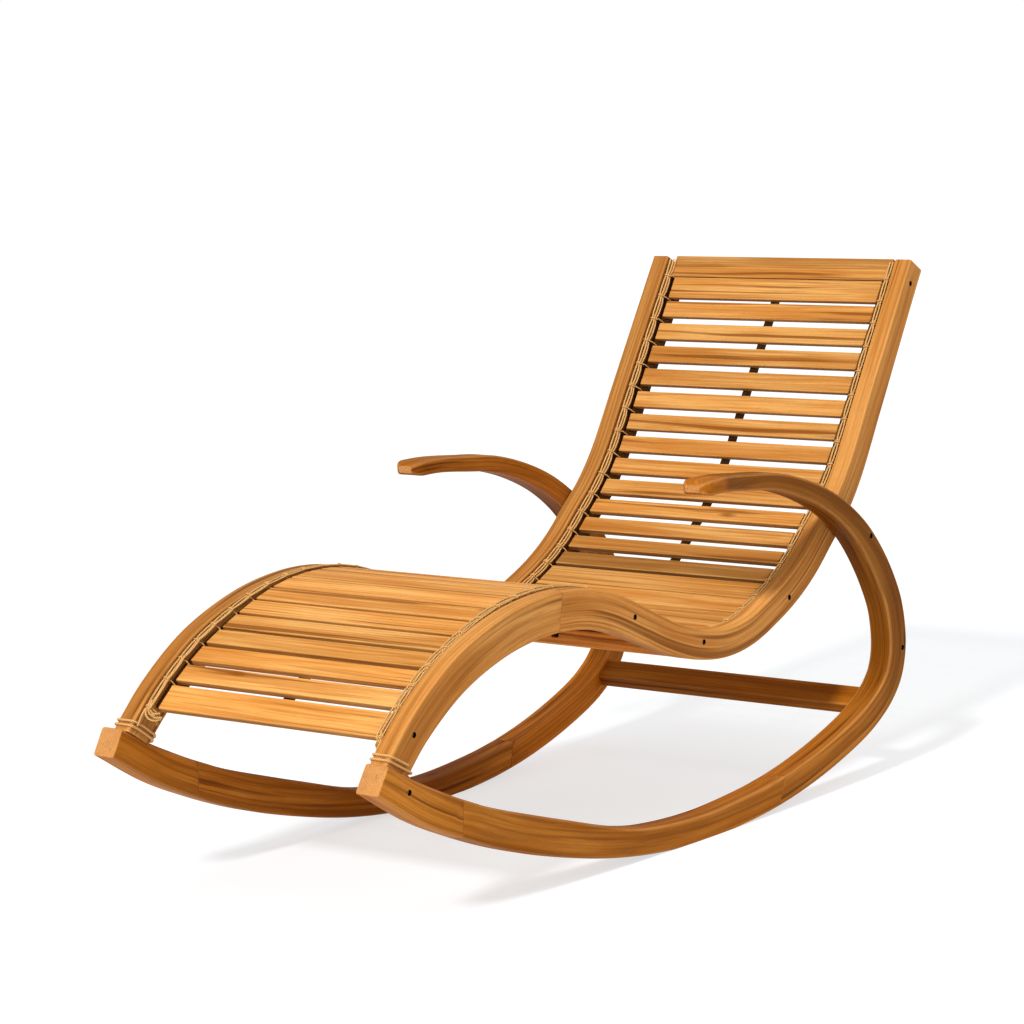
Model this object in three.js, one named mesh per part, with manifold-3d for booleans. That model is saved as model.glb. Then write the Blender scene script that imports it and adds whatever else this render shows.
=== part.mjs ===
// A rocking chaise lounge in solid wood. Two S-shaped side rails carry a bed of cross slats, and
// stand on two bent side loops that are rocker, back bow and arm rest in one.
//
// Millimetres. X runs across the chair, +Y towards the back, +Z up. The side view is drawn level,
// from the tip of the toe at y = 0 and the floor at z = 0, and then leaned back to where it rests.

import * as THREE from 'three';
import Module from 'manifold-3d';

const wasm = await Module();
wasm.setup();

// Overall sizes

const rockerLength = 1485;
const rockerHeight = 648;
const railReach = 1523;
const railRise = 767;
const clearWidth = 536;
const restLean = THREE.MathUtils.degToRad(4);
const floorFlatDepth = 4;
const fitGap = 0.3;

// Side rails

const railWidth = 36;
const railDepth = 58;
const railEdge = 3;
const railFootSetback = 40;
const railFootHeight = 249;
const railStationCount = 66;
const scarfLength = 12;
const screwHoleRadius = 5;
const screwHoleDepth = 5;

// Side loops

const loopWidth = 48;
const loopDepth = 48;
const loopEdge = 4;
const loopStationCount = 84;
const crossingClearance = 3;
const armWidening = 14;
const armWideLength = 190;
const armTipLength = 26;
const seamSlant = 22;

// Slats and what carries them

const slatThickness = 12;
const slatRecess = 12.5;
const slatEdge = 2;
const laceLane = 23;
const footBareLength = 48;
const firstSlatWidth = 54;
const regularSlatCount = 36;
const secondSlatWidth = 38.4;
const headSlatWidth = 48;
const headOverhang = 8;
const headClearance = 12;
const openGap = 14.7;
const legGap = 9.2;
const seatGap = 1.6;
const underInset = 16;
const ledgerDepth = 15;
const ledgerWidth = 32;
const spineWidth = 12;
const spineDepth = 16;

// Cross bars, bolts and cord

const stretcherHeight = 50;
const stretcherThickness = 26;
const stretcherEdge = 3;
const braceWidth = 30;
const braceThickness = 13;
const braceClearance = 1.2;
const boltRadius = 5;
const boltRecess = 7;
const boltSides = 16;
const cordRadius = 2.3;
const cordSides = 8;
const cordSink = 4.5;
const wrapTurns = 2;
const wrapPitch = 6.4;
const wrapStepsPerTurn = 24;
const wrapSides = 6;

// Outlines, as shares of the sizes that they follow

const railProfileShares = [
  [0, 0], [0.04, 0.087], [0.105, 0.187], [0.189, 0.262], [0.259, 0.294], [0.311, 0.301],
  [0.357, 0.293], [0.403, 0.27], [0.46, 0.226], [0.508, 0.189], [0.557, 0.164], [0.606, 0.156],
  [0.652, 0.171], [0.698, 0.21], [0.736, 0.252], [0.769, 0.301], [0.803, 0.367], [0.833, 0.426],
  [0.862, 0.502], [0.908, 0.667], [0.954, 0.833], [1, 1],
];
const railDepthShares = [
  [0, 1], [0.12, 1.1], [0.3, 1.21], [0.42, 1.02], [0.55, 0.9], [0.7, 0.94], [0.84, 0.88], [1, 0.8],
];
const slatRecessShares = [[0, 1], [0.12, 1], [0.24, 0.08], [0.36, 0.08], [0.5, 1], [1, 1]];
const loopProfileShares = [
  [0, 0.309], [0.075, 0.217], [0.143, 0.156], [0.21, 0.106], [0.27, 0.071], [0.378, 0.025],
  [0.453, 0.006], [0.527, 0], [0.594, 0.006], [0.657, 0.023], [0.718, 0.046], [0.783, 0.082],
  [0.851, 0.133], [0.919, 0.199], [0.951, 0.244], [0.975, 0.292], [0.993, 0.355], [1, 0.448],
  [0.989, 0.571], [0.964, 0.673], [0.931, 0.764], [0.897, 0.833], [0.843, 0.907], [0.783, 0.958],
  [0.715, 0.991], [0.657, 0.998], [0.601, 1], [0.552, 0.992],
];
const loopDepthShares = [
  [0, 1.08], [0.06, 1.26], [0.1, 1.28], [0.16, 1.37], [0.2, 1.32], [0.225, 1.25], [0.25, 1.15], [0.275, 1.04],
  [0.3, 0.99], [0.36, 1], [0.535, 1.05], [0.65, 1.1], [0.72, 1.07], [0.77, 0.97], [0.8, 0.87], [0.856, 0.75],
  [0.925, 0.64], [1, 0.56],
];
const scarfShare = 0.269;
const toeSeamShare = 0.093;
const runnerSeamShare = 0.455;
const stretcherShare = 0.602;
const braceShare = 0.478;
const loopSplayBackShare = 0.0226;
const loopSplayUpShare = 0.0235;
const legZoneShare = 0.22;
const seatZoneShare = 0.63;
const slatDriftShares = [[0, 0], [0.66, 0], [0.7, -0.115], [0.86, -0.15], [1, 0]];
const railScrewShares = [[0.036, 0.42], [0.381, 0.4], [0.489, 0.41], [0.624, 0.58], [0.979, 0.46]];
const loopScrewShares = [[0.027, 0.6], [0.659, 0.27], [0.768, 0.25]];

// Colours

const railColour = 0xb9783a;
const loopColour = 0xa4662c;
const slatColour = 0xd39a58;
const underColour = 0x7a4718;
const cordColour = 0xe6c490;
const boltColour = 0x4a4038;

const wood = (colour) => new THREE.MeshStandardMaterial({ color: colour, roughness: 0.55, metalness: 0 });

// Curves in the side view. A point there is a Vector2 of y and z.

function curveThrough(shares, reach, rise, startY, startZ) {
  const points = shares.map(([along, up]) => new THREE.Vector3(0, startY + along * reach, startZ + up * rise));
  const curve = new THREE.CatmullRomCurve3(points, false, 'centripetal');
  curve.arcLengthDivisions = 900;
  return curve;
}

const railCurve = curveThrough(railProfileShares, railReach, railRise, railFootSetback, railFootHeight);
const loopCurve = curveThrough(loopProfileShares, rockerLength, rockerHeight, 0, 0);
const railLength = railCurve.getLength();
const loopLength = loopCurve.getLength();

function tangentOn(curve, share) {
  const tangent = curve.getTangentAt(THREE.MathUtils.clamp(share, 0, 1));
  return new THREE.Vector2(tangent.y, tangent.z).normalize();
}

// Past its ends a curve goes on in a straight line
function pointOn(curve, share) {
  const within = THREE.MathUtils.clamp(share, 0, 1);
  const point = curve.getPointAt(within);
  const past = (share - within) * curve.getLength();
  return new THREE.Vector2(point.y, point.z).addScaledVector(tangentOn(curve, within), past);
}

// The rails lie below their profile, on the right of the way up from the foot. The loops lie
// inside theirs, on the left of the way from the toe round to the arm.
function inward(curve, share) {
  const tangent = tangentOn(curve, share);
  return curve === railCurve
    ? new THREE.Vector2(tangent.y, -tangent.x)
    : new THREE.Vector2(-tangent.y, tangent.x);
}

// A table is read along a smooth curve that is level only where its rows turn or stay level
function fromShares(table, share) {
  let row = 1;
  while (row < table.length - 1 && share > table[row][0]) row += 1;
  const rise = (i) => (table[i][1] - table[i - 1][1]) / (table[i][0] - table[i - 1][0]);
  const slope = (i) => {
    if (i === 0 || i === table.length - 1 || rise(i) * rise(i + 1) <= 0) return 0;
    return (2 * rise(i) * rise(i + 1)) / (rise(i) + rise(i + 1));
  };
  const [beforeShare, before] = table[row - 1];
  const [afterShare, after] = table[row];
  const span = afterShare - beforeShare;
  const t = THREE.MathUtils.clamp((share - beforeShare) / span, 0, 1);
  const turn = t * t * (3 - 2 * t);
  const leaving = t * (1 - t) * (1 - t) * span * slope(row - 1);
  const arriving = t * t * (t - 1) * span * slope(row);
  return before + (after - before) * turn + leaving + arriving;
}

const railDepthAt = (share) => railDepth * fromShares(railDepthShares, share);
const loopDepthAt = (share) => loopDepth * fromShares(loopDepthShares, share);

function innerPoint(curve, share, depth) {
  return pointOn(curve, share).addScaledVector(inward(curve, share), depth);
}

// The lean at rest, with the lowest stretch of the rockers sunk to leave a flat on the floor

function leaned(point) {
  return new THREE.Vector2(
    point.x * Math.cos(restLean) + point.y * Math.sin(restLean),
    point.y * Math.cos(restLean) - point.x * Math.sin(restLean),
  );
}

const contourHeights = loopCurve.getSpacedPoints(loopStationCount * 4).map((p) => leaned(new THREE.Vector2(p.y, p.z)).y);
const floorShift = -Math.min(...contourHeights) - floorFlatDepth;

function place(point) {
  const turned = leaned(point);
  return new THREE.Vector2(turned.x, Math.max(turned.y + floorShift, 0));
}

// Where the rails pass the loops

const railInnerX = clearWidth / 2;
const railOuterX = railInnerX + railWidth;

function findCrossing() {
  let best = { distance: Infinity };
  for (let i = railStationCount / 2; i <= railStationCount; i += 0.5) {
    const railShare = i / railStationCount;
    const railPoint = innerPoint(railCurve, railShare, railDepthAt(railShare) / 2);
    for (let j = loopStationCount / 2; j <= loopStationCount; j += 0.5) {
      const loopShare = j / loopStationCount;
      const loopPoint = innerPoint(loopCurve, loopShare, loopDepthAt(loopShare) / 2);
      const distance = railPoint.distanceTo(loopPoint);
      if (distance < best.distance) best = { distance, point: railPoint.clone().lerp(loopPoint, 0.5) };
    }
  }
  return best.point;
}

const crossing = findCrossing();

// The loops lean outwards, more at the back and at the top
function loopInnerX(point) {
  const back = (point.x - crossing.x) * loopSplayBackShare;
  const up = (point.y - crossing.y) * loopSplayUpShare;
  return railOuterX + crossingClearance + back + up;
}

// Solids. A station of a bar is its front point, its back point and the x of its two side faces.

function meshGeometry(positions, indices) {
  const geometry = new THREE.BufferGeometry();
  geometry.setAttribute('position', new THREE.BufferAttribute(new Float32Array(positions), 3));
  const corner = (index) => new THREE.Vector3(...positions.slice(index * 3, index * 3 + 3));
  let volume = 0;
  for (let i = 0; i < indices.length; i += 3) {
    volume += corner(indices[i]).dot(corner(indices[i + 1]).cross(corner(indices[i + 2])));
  }
  geometry.setIndex(volume > 0 ? indices : indices.toReversed());
  return geometry;
}

function ringsToGeometry(rings) {
  const sides = rings[0].length;
  const positions = rings.flat(2);
  const indices = [];
  for (let r = 0; r < rings.length - 1; r += 1) {
    for (let k = 0; k < sides; k += 1) {
      const a = r * sides + k;
      const b = r * sides + ((k + 1) % sides);
      indices.push(a, b, a + sides, b, b + sides, a + sides);
    }
  }
  const last = (rings.length - 1) * sides;
  for (let k = 1; k < sides - 1; k += 1) {
    indices.push(0, k + 1, k);
    indices.push(last, last + k, last + k + 1);
  }
  return meshGeometry(positions, indices);
}

function stationRing({ front, back, low, high, edge, side }) {
  const depth = front.distanceTo(back);
  const corners = [
    [edge, 0, 0], [edge, 0, 1], [0, edge, 1], [0, depth - edge, 1],
    [edge, depth, 1], [edge, depth, 0], [0, depth - edge, 0], [0, edge, 0],
  ];
  return corners.map(([inset, deep, onHigh]) => {
    const point = front.clone().lerp(back, deep / depth);
    const x = onHigh ? high(point) - inset : low(point) + inset;
    const placed = place(point);
    return [side * x, placed.x, placed.y];
  });
}

function toSolid(geometry) {
  return new wasm.Manifold(new wasm.Mesh({
    numProp: 3,
    vertProperties: geometry.attributes.position.array,
    triVerts: new Uint32Array(geometry.index.array),
  }));
}

function fromSolid(solid) {
  const mesh = solid.getMesh();
  const geometry = new THREE.BufferGeometry();
  geometry.setAttribute('position', new THREE.BufferAttribute(mesh.vertProperties, 3));
  geometry.setIndex(new THREE.BufferAttribute(mesh.triVerts, 1));
  return geometry;
}

// A round pin or hole along X, between two distances from the middle of the chair
function roundAcross(point, radius, fromX, toX, side) {
  const placed = place(point);
  const ring = (x) => Array.from({ length: boltSides }, (_, k) => {
    const angle = (k / boltSides) * Math.PI * 2;
    return [side * x, placed.x + radius * Math.cos(angle), placed.y + radius * Math.sin(angle)];
  });
  return ringsToGeometry([ring(fromX), ring(toX)]);
}

function cutHoles(geometry, holes) {
  let solid = toSolid(geometry);
  for (const hole of holes) solid = solid.subtract(toSolid(hole));
  return fromSolid(solid);
}

const chair = new THREE.Group();

function addPiece(name, geometry, material) {
  const mesh = new THREE.Mesh(geometry, material);
  mesh.name = name;
  chair.add(mesh);
  return mesh;
}

// Side loops

function armWidth(share) {
  const fromTip = (1 - share) * loopLength;
  return armWidening * (1 - THREE.MathUtils.smoothstep(fromTip, 0, armWideLength));
}

function loopStation(share, side, slant) {
  const tangent = tangentOn(loopCurve, share);
  const fromTip = (1 - share) * loopLength;
  const blunt = Math.max(0, 1 - fromTip / armTipLength);
  const squeeze = (1 - Math.sqrt(1 - blunt * blunt * 0.75)) / 2;
  const depth = loopDepthAt(share);
  const front = innerPoint(loopCurve, share, depth * squeeze);
  const back = innerPoint(loopCurve, share, depth * (1 - squeeze)).addScaledVector(tangent, slant);
  const width = loopWidth + armWidth(share);
  return {
    front,
    back,
    side,
    edge: Math.min(loopEdge, front.distanceTo(back) / 4),
    low: (point) => loopInnerX(point) + width * squeeze,
    high: (point) => loopInnerX(point) + width * (1 - squeeze),
  };
}

// A stretch of a loop between two seams, which both lean by the same slant
function loopStretch(fromShare, toShare, side, fromSlant, toSlant) {
  const rings = [stationRing(loopStation(fromShare, side, fromSlant))];
  const settle = seamSlant * 1.5 / loopLength;
  for (let i = 0; i <= loopStationCount; i += 1) {
    const share = i / loopStationCount;
    const clearOfStart = fromSlant ? settle : 1 / loopLength;
    const clearOfEnd = toSlant ? settle : 1 / loopLength;
    if (share > fromShare + clearOfStart && share < toShare - clearOfEnd) {
      rings.push(stationRing(loopStation(share, side, 0)));
    }
  }
  if (toShare === 1) {
    for (const roundShare of [0.6, 0.3, 0.1]) {
      rings.push(stationRing(loopStation(1 - roundShare * armTipLength / loopLength, side, 0)));
    }
  }
  rings.push(stationRing(loopStation(toShare, side, toSlant)));
  return ringsToGeometry(rings);
}

function screwHole(curve, depthAt, [share, deep], outerX, side) {
  const point = innerPoint(curve, share, depthAt(share) * deep);
  const face = outerX(point, share);
  return roundAcross(point, screwHoleRadius, face - screwHoleDepth, face + screwHoleDepth, side);
}

const loopOuterX = (point, share) => loopInnerX(point) + loopWidth + armWidth(share);
const halfSeam = fitGap / 2 / loopLength;

function addLoop(sideName, side) {
  const material = wood(loopColour);
  const [toeScrew, lowBowScrew, highBowScrew] = loopScrewShares
    .map((row) => screwHole(loopCurve, loopDepthAt, row, loopOuterX, side));
  const toe = loopStretch(0, toeSeamShare - halfSeam, side, 0, -seamSlant);
  const runner = loopStretch(toeSeamShare + halfSeam, runnerSeamShare - halfSeam, side, -seamSlant, seamSlant);
  const bow = loopStretch(runnerSeamShare + halfSeam, 1, side, seamSlant, 0);
  const outer = loopInnerX(crossing) + loopWidth;
  const boltHole = roundAcross(crossing, boltRadius + fitGap, railOuterX, outer + boltRecess, side);
  addPiece(`${sideName}_toe_block`, cutHoles(toe, [toeScrew]), material);
  addPiece(`${sideName}_runner`, runner, material);
  addPiece(`${sideName}_rear_bow`, cutHoles(bow, [lowBowScrew, highBowScrew, boltHole]), material);
}

// Side rails. The foot is cut to stand on the top of the toe.

function toeTopZ(y) {
  let above = 0;
  const step = 1 / loopStationCount;
  let before = innerPoint(loopCurve, 0, loopDepthAt(0));
  for (let share = step; share < 0.5; share += step) {
    above = innerPoint(loopCurve, share, loopDepthAt(share));
    if (above.x >= y) break;
    before = above;
  }
  const part = (y - before.x) / (above.x - before.x);
  return before.y + (above.y - before.y) * part;
}

function seatOnToe(point, tangent) {
  const seated = point.clone();
  for (let round = 0; round < 12; round += 1) {
    const rise = seated.y - toeTopZ(seated.x) - fitGap;
    seated.addScaledVector(tangent, -rise / (tangent.y + tangent.x / 2));
  }
  return seated;
}

const footTangent = tangentOn(railCurve, 0);
const footFront = seatOnToe(pointOn(railCurve, 0), footTangent);
const footBack = seatOnToe(innerPoint(railCurve, 0, railDepthAt(0)), footTangent);

function railStation(share, side, slant) {
  const tangent = tangentOn(railCurve, share);
  const atFoot = share === 0;
  return {
    front: atFoot ? footFront : pointOn(railCurve, share),
    back: atFoot ? footBack : innerPoint(railCurve, share, railDepthAt(share)).addScaledVector(tangent, slant),
    side,
    edge: railEdge,
    low: () => railInnerX,
    high: () => railOuterX,
  };
}

function railStretch(fromShare, toShare, side, fromSlant, toSlant) {
  const rings = [stationRing(railStation(fromShare, side, fromSlant))];
  const settle = scarfLength * 1.2 / railLength;
  for (let i = 1; i < railStationCount; i += 1) {
    const share = i / railStationCount;
    const clearOfStart = fromSlant ? settle : 0;
    const clearOfEnd = toSlant ? settle : 0;
    if (share > fromShare + clearOfStart && share < toShare - clearOfEnd) {
      rings.push(stationRing(railStation(share, side, 0)));
    }
  }
  rings.push(stationRing(railStation(toShare, side, toSlant)));
  return ringsToGeometry(rings);
}

const halfScarf = fitGap / 2 / railLength;

function addRail(sideName, side) {
  const material = wood(railColour);
  const holes = railScrewShares.map((row) => screwHole(railCurve, railDepthAt, row, () => railOuterX, side));
  const leg = railStretch(0, scarfShare - halfScarf, side, 0, -scarfLength);
  const back = railStretch(scarfShare + halfScarf, 1, side, -scarfLength, 0);
  const boltHole = roundAcross(crossing, boltRadius + fitGap, railInnerX + boltRecess, railOuterX + boltRecess, side);
  addPiece(`${sideName}_leg_rail`, cutHoles(leg, holes.slice(0, 1)), material);
  addPiece(`${sideName}_back_rail`, cutHoles(back, [...holes.slice(1), boltHole]), material);
}

function addBolt(sideName, side) {
  const material = new THREE.MeshStandardMaterial({ color: boltColour, roughness: 0.4, metalness: 0.8 });
  const fromX = railInnerX + boltRecess + fitGap;
  const toX = loopInnerX(crossing) + loopWidth - boltRecess;
  addPiece(`${sideName}_crossing_bolt`, roundAcross(crossing, boltRadius, fromX, toX, side), material);
}

// Slats. They lie between the rails, sunk below the rails' top edge.

const headEnd = railLength + headOverhang;
const headStart = headEnd - headSlatWidth;
const secondStart = headStart - seatGap - secondSlatWidth - openGap / 2;
const regularStart = footBareLength + firstSlatWidth + legGap / 2;
const regularPitch = (secondStart - regularStart) / regularSlatCount;
const slatStarts = Array.from({ length: regularSlatCount }, (_, i) => {
  const drift = fromShares(slatDriftShares, i / regularSlatCount);
  return regularStart + (i + drift) * regularPitch;
});
const slatEdges = [footBareLength - legGap / 2, ...slatStarts, secondStart, headStart, headEnd];
const slatShares = slatEdges.map((length) => length / railLength);

const recessAt = (share) => slatRecess * fromShares(slatRecessShares, share);

// The first slat and the last two are numbered before and after the regular ones
function gapOf(index) {
  const part = (index - 1) / regularSlatCount;
  if (index === 0) return legGap;
  if (index > regularSlatCount) return seatGap;
  if (part < legZoneShare) return legGap - ((legGap - seatGap) * part) / legZoneShare;
  return part < seatZoneShare ? seatGap : openGap;
}

function slatShape(width, thickness) {
  const w = width / 2;
  const t = thickness / 2;
  const corners = [
    [-w + slatEdge, -t], [w - slatEdge, -t], [w, -t + slatEdge], [w, t - slatEdge],
    [w - slatEdge, t], [-w + slatEdge, t], [-w, t - slatEdge], [-w, -t + slatEdge],
  ];
  return new THREE.Shape(corners.map(([u, v]) => new THREE.Vector2(u, v)));
}

const acrossTheChair = new THREE.Matrix4().makeBasis(
  new THREE.Vector3(0, 1, 0),
  new THREE.Vector3(0, 0, 1),
  new THREE.Vector3(1, 0, 0),
);

function addSlat(name, index, endClearance) {
  const start = slatShares[index];
  const end = slatShares[index + 1];
  const topStart = innerPoint(railCurve, start, recessAt(start));
  const topEnd = innerPoint(railCurve, end, recessAt(end));
  const bottomStart = innerPoint(railCurve, start, recessAt(start) + slatThickness);
  const bottomEnd = innerPoint(railCurve, end, recessAt(end) + slatThickness);
  const room = Math.min(topStart.distanceTo(topEnd), bottomStart.distanceTo(bottomEnd));
  const slatLength = clearWidth - 2 * endClearance;
  const shape = slatShape(room - gapOf(index), slatThickness);
  const geometry = new THREE.ExtrudeGeometry(shape, { depth: slatLength, bevelEnabled: false, steps: 1 });
  geometry.translate(0, 0, -slatLength / 2);
  geometry.applyMatrix4(acrossTheChair);
  const middle = topStart.clone().lerp(topEnd, 0.5).lerp(bottomStart.clone().lerp(bottomEnd, 0.5), 0.5);
  const placed = place(middle);
  const run = topEnd.clone().sub(topStart);
  const mesh = addPiece(name, geometry, wood(slatColour));
  mesh.position.set(0, placed.x, placed.y);
  mesh.rotation.x = Math.atan2(run.y, run.x) - restLean;
}

function addSlats() {
  const headIndex = slatShares.length - 2;
  for (let i = 0; i < headIndex; i += 1) {
    addSlat(`slat_${String(i + 1).padStart(2, '0')}`, i, laceLane);
  }
  addSlat('head_rail', headIndex, headClearance);
}

// Ledgers and spine run under the slats and turn where the slats meet
function underBar(lowX, highX, depth, side) {
  const [fronts, backs] = [0, depth].map((deep) => {
    const points = slatShares.map((share) => {
      return innerPoint(railCurve, share, recessAt(share) + slatThickness + fitGap + deep);
    });
    const [first, second] = points;
    const [beforeLast, last] = points.slice(-2);
    first.lerp(second, underInset / first.distanceTo(second));
    last.lerp(beforeLast, underInset / last.distanceTo(beforeLast));
    return points;
  });
  const rings = fronts.map((front, i) => stationRing({
    front,
    back: backs[i],
    side,
    edge: slatEdge,
    low: () => lowX,
    high: () => highX,
  }));
  return ringsToGeometry(rings);
}

// Bars across the chair, turned to follow the curve that carries them

function addStretcher() {
  const tangent = tangentOn(loopCurve, stretcherShare);
  const normal = inward(loopCurve, stretcherShare);
  const middle = innerPoint(loopCurve, stretcherShare, loopDepthAt(stretcherShare) / 2);
  const h = stretcherHeight / 2;
  const t = stretcherThickness / 2;
  const e = stretcherEdge;
  const corners = [
    [-h + e, -t], [h - e, -t], [h, -t + e], [h, t - e], [h - e, t], [-h + e, t], [-h, t - e], [-h, -t + e],
  ];
  const ring = (side) => corners.map(([along, deep]) => {
    const point = middle.clone().addScaledVector(tangent, along).addScaledVector(normal, deep);
    const placed = place(point);
    return [side * (loopInnerX(point) - fitGap), placed.x, placed.y];
  });
  addPiece('rear_stretcher', ringsToGeometry([ring(-1), ring(1)]), wood(loopColour));
}

// The brace passes below the ledgers and the spine, and rises between them to just under the slats
function addBrace() {
  const underSlats = recessAt(braceShare) + slatThickness + braceClearance;
  const underBars = underSlats + Math.max(ledgerDepth, spineDepth);
  const bottom = underBars + braceThickness;
  const endX = railInnerX - fitGap;
  const ledgerX = railInnerX - ledgerWidth - braceClearance;
  const spineX = spineWidth / 2 + braceClearance;
  const half = [
    [endX, bottom], [endX, underBars], [ledgerX, underBars], [ledgerX, underSlats], [spineX, underSlats],
    [spineX, underBars],
  ];
  const outline = [...half, ...half.toReversed().map(([x, deep]) => [-x, deep])];
  const shape = new THREE.Shape(outline.map(([x, deep]) => new THREE.Vector2(x, deep)));
  const geometry = new THREE.ExtrudeGeometry(shape, { depth: braceWidth, bevelEnabled: false, steps: 1 });
  const tangent = tangentOn(railCurve, braceShare);
  const position = geometry.attributes.position;
  for (let i = 0; i < position.count; i += 1) {
    const along = position.getZ(i) - braceWidth / 2;
    const placed = place(innerPoint(railCurve, braceShare, position.getY(i)).addScaledVector(tangent, along));
    position.setXYZ(i, position.getX(i), placed.x, placed.y);
  }
  addPiece('seat_brace', geometry, wood(railColour));
}

// Lacing. A cord runs beside the slats, to the rail at each gap and back to the end of each slat.

function addLacing(sideName, side) {
  const railLane = railInnerX - fitGap - cordRadius;
  const slatLane = railInnerX - laceLane + fitGap + cordRadius;
  const points = [];
  for (let i = 0; i < slatShares.length - 2; i += 1) {
    const middleShare = (slatShares[i] + slatShares[i + 1]) / 2;
    const stops = [[slatShares[i], railLane], [middleShare, slatLane]];
    for (const [share, lane] of stops) {
      const placed = place(innerPoint(railCurve, share, cordSink));
      points.push(new THREE.Vector3(side * lane, placed.x, placed.y));
    }
  }
  const path = new THREE.CatmullRomCurve3(points, false, 'centripetal');
  const section = new THREE.Shape(Array.from({ length: cordSides }, (_, k) => {
    const angle = (k / cordSides) * Math.PI * 2;
    return new THREE.Vector2(cordRadius * Math.cos(angle), cordRadius * Math.sin(angle));
  }));
  const steps = points.length;
  const geometry = new THREE.ExtrudeGeometry(section, { steps, extrudePath: path, bevelEnabled: false });
  addPiece(`${sideName}_lacing`, geometry, new THREE.MeshStandardMaterial({ color: cordColour, roughness: 0.9 }));
}

// Foot wrap. The cord goes twice round the rail, just above the toe.

function wrapPath(side) {
  const reach = cordRadius + fitGap;
  const footRun = footBack.clone().sub(footFront);
  const footDepth = footRun.length();
  const ahead = footRun.clone().normalize();
  const halfDepth = footDepth / 2;
  const halfWidth = railWidth / 2;
  const middle = footFront.clone().lerp(footBack, 0.5);
  const stepsPerSide = wrapStepsPerTurn / 4;
  const cornerSigns = [[1, 1], [-1, 1], [-1, -1], [1, -1]];
  const centres = [];
  for (let k = 0; k <= wrapTurns * wrapStepsPerTurn; k += 1) {
    const around = k % wrapStepsPerTurn;
    const cornerIndex = Math.floor(around / stepsPerSide);
    const [signX, signDeep] = cornerSigns[cornerIndex];
    const [nextX, nextDeep] = cornerSigns[(cornerIndex + 1) % 4];
    const j = around % stepsPerSide;
    const turn = (cornerIndex + Math.min(j, 2) / 2) * (Math.PI / 2);
    const cornerX = signX * (halfWidth - railEdge);
    const cornerDeep = signDeep * (halfDepth - railEdge);
    const radius = reach + railEdge;
    let x = cornerX + radius * Math.cos(turn);
    let deep = cornerDeep + radius * Math.sin(turn);
    if (j > 2) {
      const part = (j - 2) / (stepsPerSide - 2);
      const endX = nextX * (halfWidth - railEdge) + radius * Math.cos(turn);
      const endDeep = nextDeep * (halfDepth - railEdge) + radius * Math.sin(turn);
      x += (endX - x) * part;
      deep += (endDeep - deep) * part;
    }
    const lift = reach + fitGap + (wrapPitch * k) / wrapStepsPerTurn;
    const point = middle.clone().addScaledVector(ahead, deep).addScaledVector(footTangent, lift);
    const placed = place(point);
    centres.push(new THREE.Vector3(side * (railInnerX + halfWidth + x), placed.x, placed.y));
  }
  return centres;
}

function tubeAround(centres, radius, sides) {
  let normal = new THREE.Vector3(0, 0, 1);
  const rings = centres.map((centre, i) => {
    const before = centres[Math.max(i - 1, 0)];
    const after = centres[Math.min(i + 1, centres.length - 1)];
    const tangent = after.clone().sub(before).normalize();
    normal = normal.clone().addScaledVector(tangent, -normal.dot(tangent)).normalize();
    const other = tangent.clone().cross(normal);
    return Array.from({ length: sides }, (_, k) => {
      const angle = (k / sides) * Math.PI * 2;
      const offset = normal.clone().multiplyScalar(Math.cos(angle)).addScaledVector(other, Math.sin(angle));
      return centre.clone().addScaledVector(offset, radius).toArray();
    });
  });
  return ringsToGeometry(rings);
}

function leastSelfGap(centres, radius) {
  let least = Infinity;
  for (let i = 0; i < centres.length; i += 1) {
    for (let j = i + wrapStepsPerTurn / 2; j < centres.length; j += 1) {
      least = Math.min(least, centres[i].distanceTo(centres[j]) - 2 * radius);
    }
  }
  return least;
}

function addFootWrap(sideName, side) {
  const centres = wrapPath(side);
  console.log(`${sideName} foot wrap, least gap to itself: ${leastSelfGap(centres, cordRadius).toFixed(2)} mm`);
  const material = new THREE.MeshStandardMaterial({ color: cordColour, roughness: 0.9 });
  addPiece(`${sideName}_foot_wrap`, tubeAround(centres, cordRadius, wrapSides), material);
}

// The whole chair, with its left and right as the sitter has them

for (const [sideName, side] of [['left', 1], ['right', -1]]) {
  addRail(sideName, side);
  addLoop(sideName, side);
  addBolt(sideName, side);
  const ledger = underBar(railInnerX - fitGap - ledgerWidth, railInnerX - fitGap, ledgerDepth, side);
  addPiece(`${sideName}_ledger`, ledger, wood(underColour));
  addLacing(sideName, side);
  addFootWrap(sideName, side);
}
addSlats();
addPiece('spine', underBar(-spineWidth / 2, spineWidth / 2, spineDepth, 1), wood(underColour));
addStretcher();
addBrace();

const box = new THREE.Box3().setFromObject(chair);
chair.position.y = -(box.min.y + box.max.y) / 2;

export default chair;
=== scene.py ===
"""A rocking chaise lounge in oiled wood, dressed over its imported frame."""
import math
import random

import bmesh
import bpy
from mathutils import Matrix, Vector


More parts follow.
